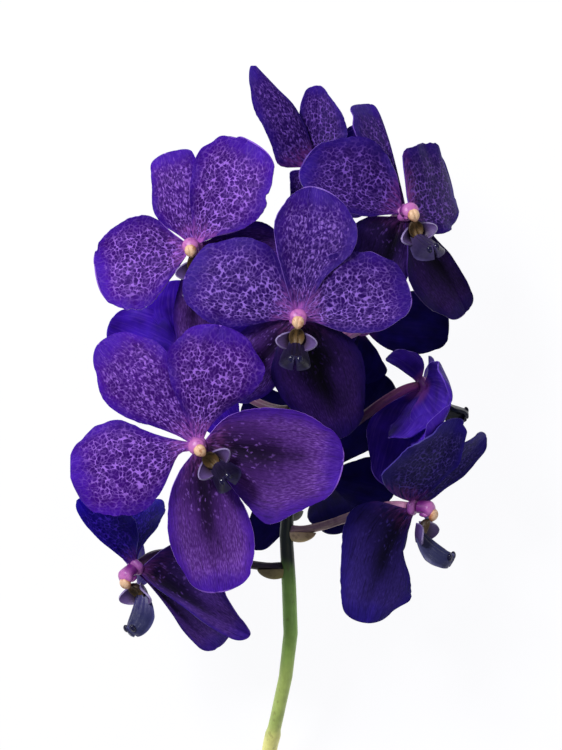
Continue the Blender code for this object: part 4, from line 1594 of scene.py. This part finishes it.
def tube_share(share: float, steps: int, caps: int) -> tuple[float, float]:
    """Turns a sphere's even rings into a tube's: where along it, and how full its radius is.

    Args:
        share: From pole to pole, in steps + 2 * caps even rings.
        steps: Rings along the tube.
        caps: Rings on each end.

    Returns:
        The share along the tube, and the share of its radius.
    """
    total = steps + 2 * caps
    ring = share * total
    if ring < caps:
        return 0.0, ring / caps
    if ring > total - caps:
        return 1.0, (total - ring) / caps
    return (ring - caps) / steps, 1.0


def stem_at(y: float) -> tuple[Vector, float]:
    """Centre and radius of the stalk where it passes y.

    Args:
        y: The place in millimetres.

    Returns:
        The centre and the radius.
    """
    for low, high in zip(STEM_PATH, STEM_PATH[1:]):
        if low[1] <= y <= high[1]:
            share = (y - low[1]) / (high[1] - low[1])
            return Vector(low[:3]).lerp(Vector(high[:3]), share), low[3] + (high[3] - low[3]) * share
    return Vector(STEM_PATH[-1][:3]), STEM_PATH[-1][3]


@dataclass(frozen=True)
class Pedicel:
    """The ribbed stalk of a bloom, which swells into its ovary behind the hub."""

    bloom: Bloom
    radius: float = 1.55
    ovary: float = 2.1
    foot: float = 0.7
    neck: float = 0.4
    sunk: float = 0.5
    pull: float = 0.35
    ribs: int = 6
    rib: float = 0.06
    twist: float = 0.7
    steps: int = 30
    caps: int = 3

    def ends(self) -> tuple[Vector, Vector, Vector]:
        """Where it leaves the stalk, its way out, and where it meets the hub's back.

        Returns:
            The first place, the way and the last place.
        """
        back = Vector(self.bloom.middle) - self.bloom.face() * BASE
        root, radius = stem_at(self.bloom.root)
        out = back - root
        out.y = 0.0
        out.normalize()
        return root + out * (radius - self.sunk), out, back

    def course(self, share: float) -> Vector:
        """A point of its middle line.

        Args:
            share: 0 at the stalk, 1 at the hub.

        Returns:
            The point in millimetres.
        """
        start, out, back = self.ends()
        reach = (back - start).length
        first, second = start + out * self.pull * reach, back - self.bloom.face() * self.pull * reach
        rest = 1.0 - share
        bent = first * 3 * share * rest**2 + second * 3 * share**2 * rest
        return start * rest**3 + bent + back * share**3

    def point(self, share: float, turn: float) -> Vector:
        """A point of its skin.

        Args:
            share: From end to end.
            turn: Round it, in radians.

        Returns:
            The point in millimetres.
        """
        along, ring = tube_share(share, self.steps, self.caps)
        here = self.course(along)
        run = (self.course(min(1.0, along + 0.02)) - self.course(max(0.0, along - 0.02))).normalized()
        side = run.cross(Vector((0.0, 1.0, 0.02))).normalized()
        up = run.cross(side)
        swell = self.radius + (self.ovary - self.radius) * along
        swell += self.foot * hump(along, 0.0, 0.06) - self.neck * ramp(along, 0.85, 1.0)
        grown = 1.0 - self.rib + self.rib * math.cos(self.ribs * (turn + self.twist * 4.0 * along))
        return here + (side * math.cos(turn) + up * math.sin(turn)) * swell * grown * ring

    def build(self, shop: Workshop) -> None:
        """Builds the pedicel.

        Args:
            shop: The workshop.
        """
        name = self.bloom.name
        rings = self.steps + 2 * self.caps
        obj = shop.skin(f"pedicel_{name}", 36, rings, self.point, OVARIES.get(name, OVARY))
        shop.settle(obj, f"bloom_{name}_pedicel")


@dataclass(frozen=True)
class Stalk:
    """The stalk from its cut foot to its end, with a boat-shaped bract below each pedicel."""

    steps: int = 240
    caps: int = 4
    rough: float = 0.03
    bract_length: float = 10.6
    bract_height: float = 1.9
    bract_depth: float = 3.7
    bract_thick: float = 0.6

    def point(self, share: float, turn: float) -> Vector:
        """A point of the stalk's skin.

        Args:
            share: From end to end.
            turn: Round it, in radians.

        Returns:
            The point in millimetres.
        """
        low, high = STEM_PATH[0][1], STEM_PATH[-1][1]
        along, ring = tube_share(share, self.steps, self.caps)
        y = low + (high - low) * along
        here, radius = stem_at(y)
        run = (stem_at(min(high, y + 1.5))[0] - stem_at(max(low, y - 1.5))[0]).normalized()
        side = run.cross(Vector((0.0, 0.0, 1.0))).normalized()
        up = side.cross(run)
        dent = abs(noise.noise(Vector((3 * math.cos(turn), 3 * math.sin(turn), y / 9))))
        reach = radius * (1.0 - self.rough * dent) * ring
        spot = here + (side * math.cos(turn) + up * math.sin(turn)) * reach
        return Vector((spot.x, spot.y, max(0.0, spot.z)))

    def build(self, shop: Workshop) -> None:
        """Builds the stalk with its bracts as one piece.

        Args:
            shop: The workshop.
        """
        stalk = shop.skin("stalk", 32, self.steps + 2 * self.caps, self.point, StalkFinish())
        bracts = [self.bract(shop, bloom) for bloom in BLOOMS]
        shop.settle(shop.joined("stalk_and_bracts", [stalk, *bracts]), "stem")

    def bract(self, shop: Workshop, bloom: Bloom) -> bpy.types.Object:
        """A bract: a pointed boat that holds a pedicel from below.

        Args:
            shop: The workshop.
            bloom: The pedicel's bloom.

        Returns:
            The bract's object.
        """
        start, out, _ = Pedicel(bloom).ends()
        along = Vector((0.0, 1.0, 0.0))
        down = (out * out.dot(along) - along).normalized()
        side = down.cross(out)

        def place(reach: float, across: float) -> Vector:
            """A point of the bract.

            Args:
                reach: 0 at its root, 1 at its point.
                across: -1 at one margin, 1 at the other.

            Returns:
                The point in millimetres.
            """
            profile = math.sin(math.pi * min(0.999, 0.2 + 0.8 * reach)) ** 0.6
            wide = self.bract_height * profile
            deep = self.bract_depth * profile * math.sqrt(max(0.0, 1.0 - across * across))
            spot = out * (-1.2 + self.bract_length * reach) + down * (0.5 + 0.3 * reach + deep)
            return start + spot + side * wide * across

        obj = shop.sheet("bract", [0.995 * k / 14 for k in range(15)], even(8), place)
        return shop.thicken(obj, self.bract_thick, BRACTS.get(bloom.name, BRACT))


@dataclass(frozen=True)
class Studio:
    """The pale floor, the soft lights and the camera, which looks straight down.

    At the blooms' height, a pixel of the photograph's 562 x 750 is 0.38 mm. The floor and the
    lights are in metres, and a light has its place, its size and its watts.
    """

    floor: float = 4.8
    floor_drop: float = 0.0001
    air: tuple[float, ...] = (0.95, 0.97, 1.0, 1.0)
    air_strength: float = 0.2
    key: tuple[tuple[float, ...], float, float] = ((-0.75, 0.75, 1.25), 0.45, 23.0)
    fill: tuple[tuple[float, ...], float, float] = ((0.9, -0.5, 1.1), 1.0, 3.0)
    camera: tuple[float, float, float] = (-0.25, 26.4, 1560.0)
    field: float = 2 * math.atan(142.5 / 1500.0)
    sensor: float = 36.0

    def build(self, shop: Workshop) -> None:
        """Sets up the studio.

        Args:
            shop: The workshop.
        """
        scene = bpy.context.scene
        scene.view_settings.view_transform = "Standard"
        bpy.ops.object.select_all(action="DESELECT")
        bpy.ops.mesh.primitive_plane_add(size=self.floor, location=(0.0, 0.0, -self.floor_drop))
        floor = bpy.context.object
        floor.name = "floor"
        shop.dress(floor, FloorFinish())
        floor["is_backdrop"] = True
        world = bpy.data.worlds.new("studio_air")
        world.use_nodes = True
        background = world.node_tree.nodes["Background"].inputs
        background["Color"].default_value = self.air
        background["Strength"].default_value = self.air_strength
        scene.world = world
        self.lamp("key_light", *self.key)
        self.lamp("fill_light", *self.fill)
        camera = bpy.data.cameras.new("camera")
        camera.sensor_width = self.sensor
        camera.lens = self.sensor / 2 / math.tan(self.field / 2)
        camera.clip_end = 20.0
        eye = bpy.data.objects.new("camera", camera)
        eye.location = Vector(self.camera) * MM
        scene.collection.objects.link(eye)
        scene.camera = eye

    def lamp(self, name: str, place: tuple[float, ...], size: float, watts: float) -> None:
        """Adds a soft square light aimed at the spray.

        Args:
            name: Its name.
            place: Its place in metres.
            size: Its side in metres.
            watts: Its power.
        """
        data = bpy.data.lights.new(name, "AREA")
        data.shape = "SQUARE"
        data.size = size
        data.energy = watts
        lamp = bpy.data.objects.new(name, data)
        lamp.location = place
        lamp.rotation_euler = (-Vector(place)).to_track_quat("-Z", "Y").to_euler()
        bpy.context.scene.collection.objects.link(lamp)


def main() -> None:
    """Builds the spray piece by piece, then the studio."""
    logging.basicConfig(level=logging.INFO, format="%(message)s")
    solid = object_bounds()
    shop = Workshop(solid)
    Stalk().build(shop)
    for bloom in BLOOMS:
        for part in (Tepals(bloom), Column(bloom), Lip(bloom), Pedicel(bloom)):
            part.build(shop)
    Studio().build(shop)


if __name__ == "__main__":
    main()
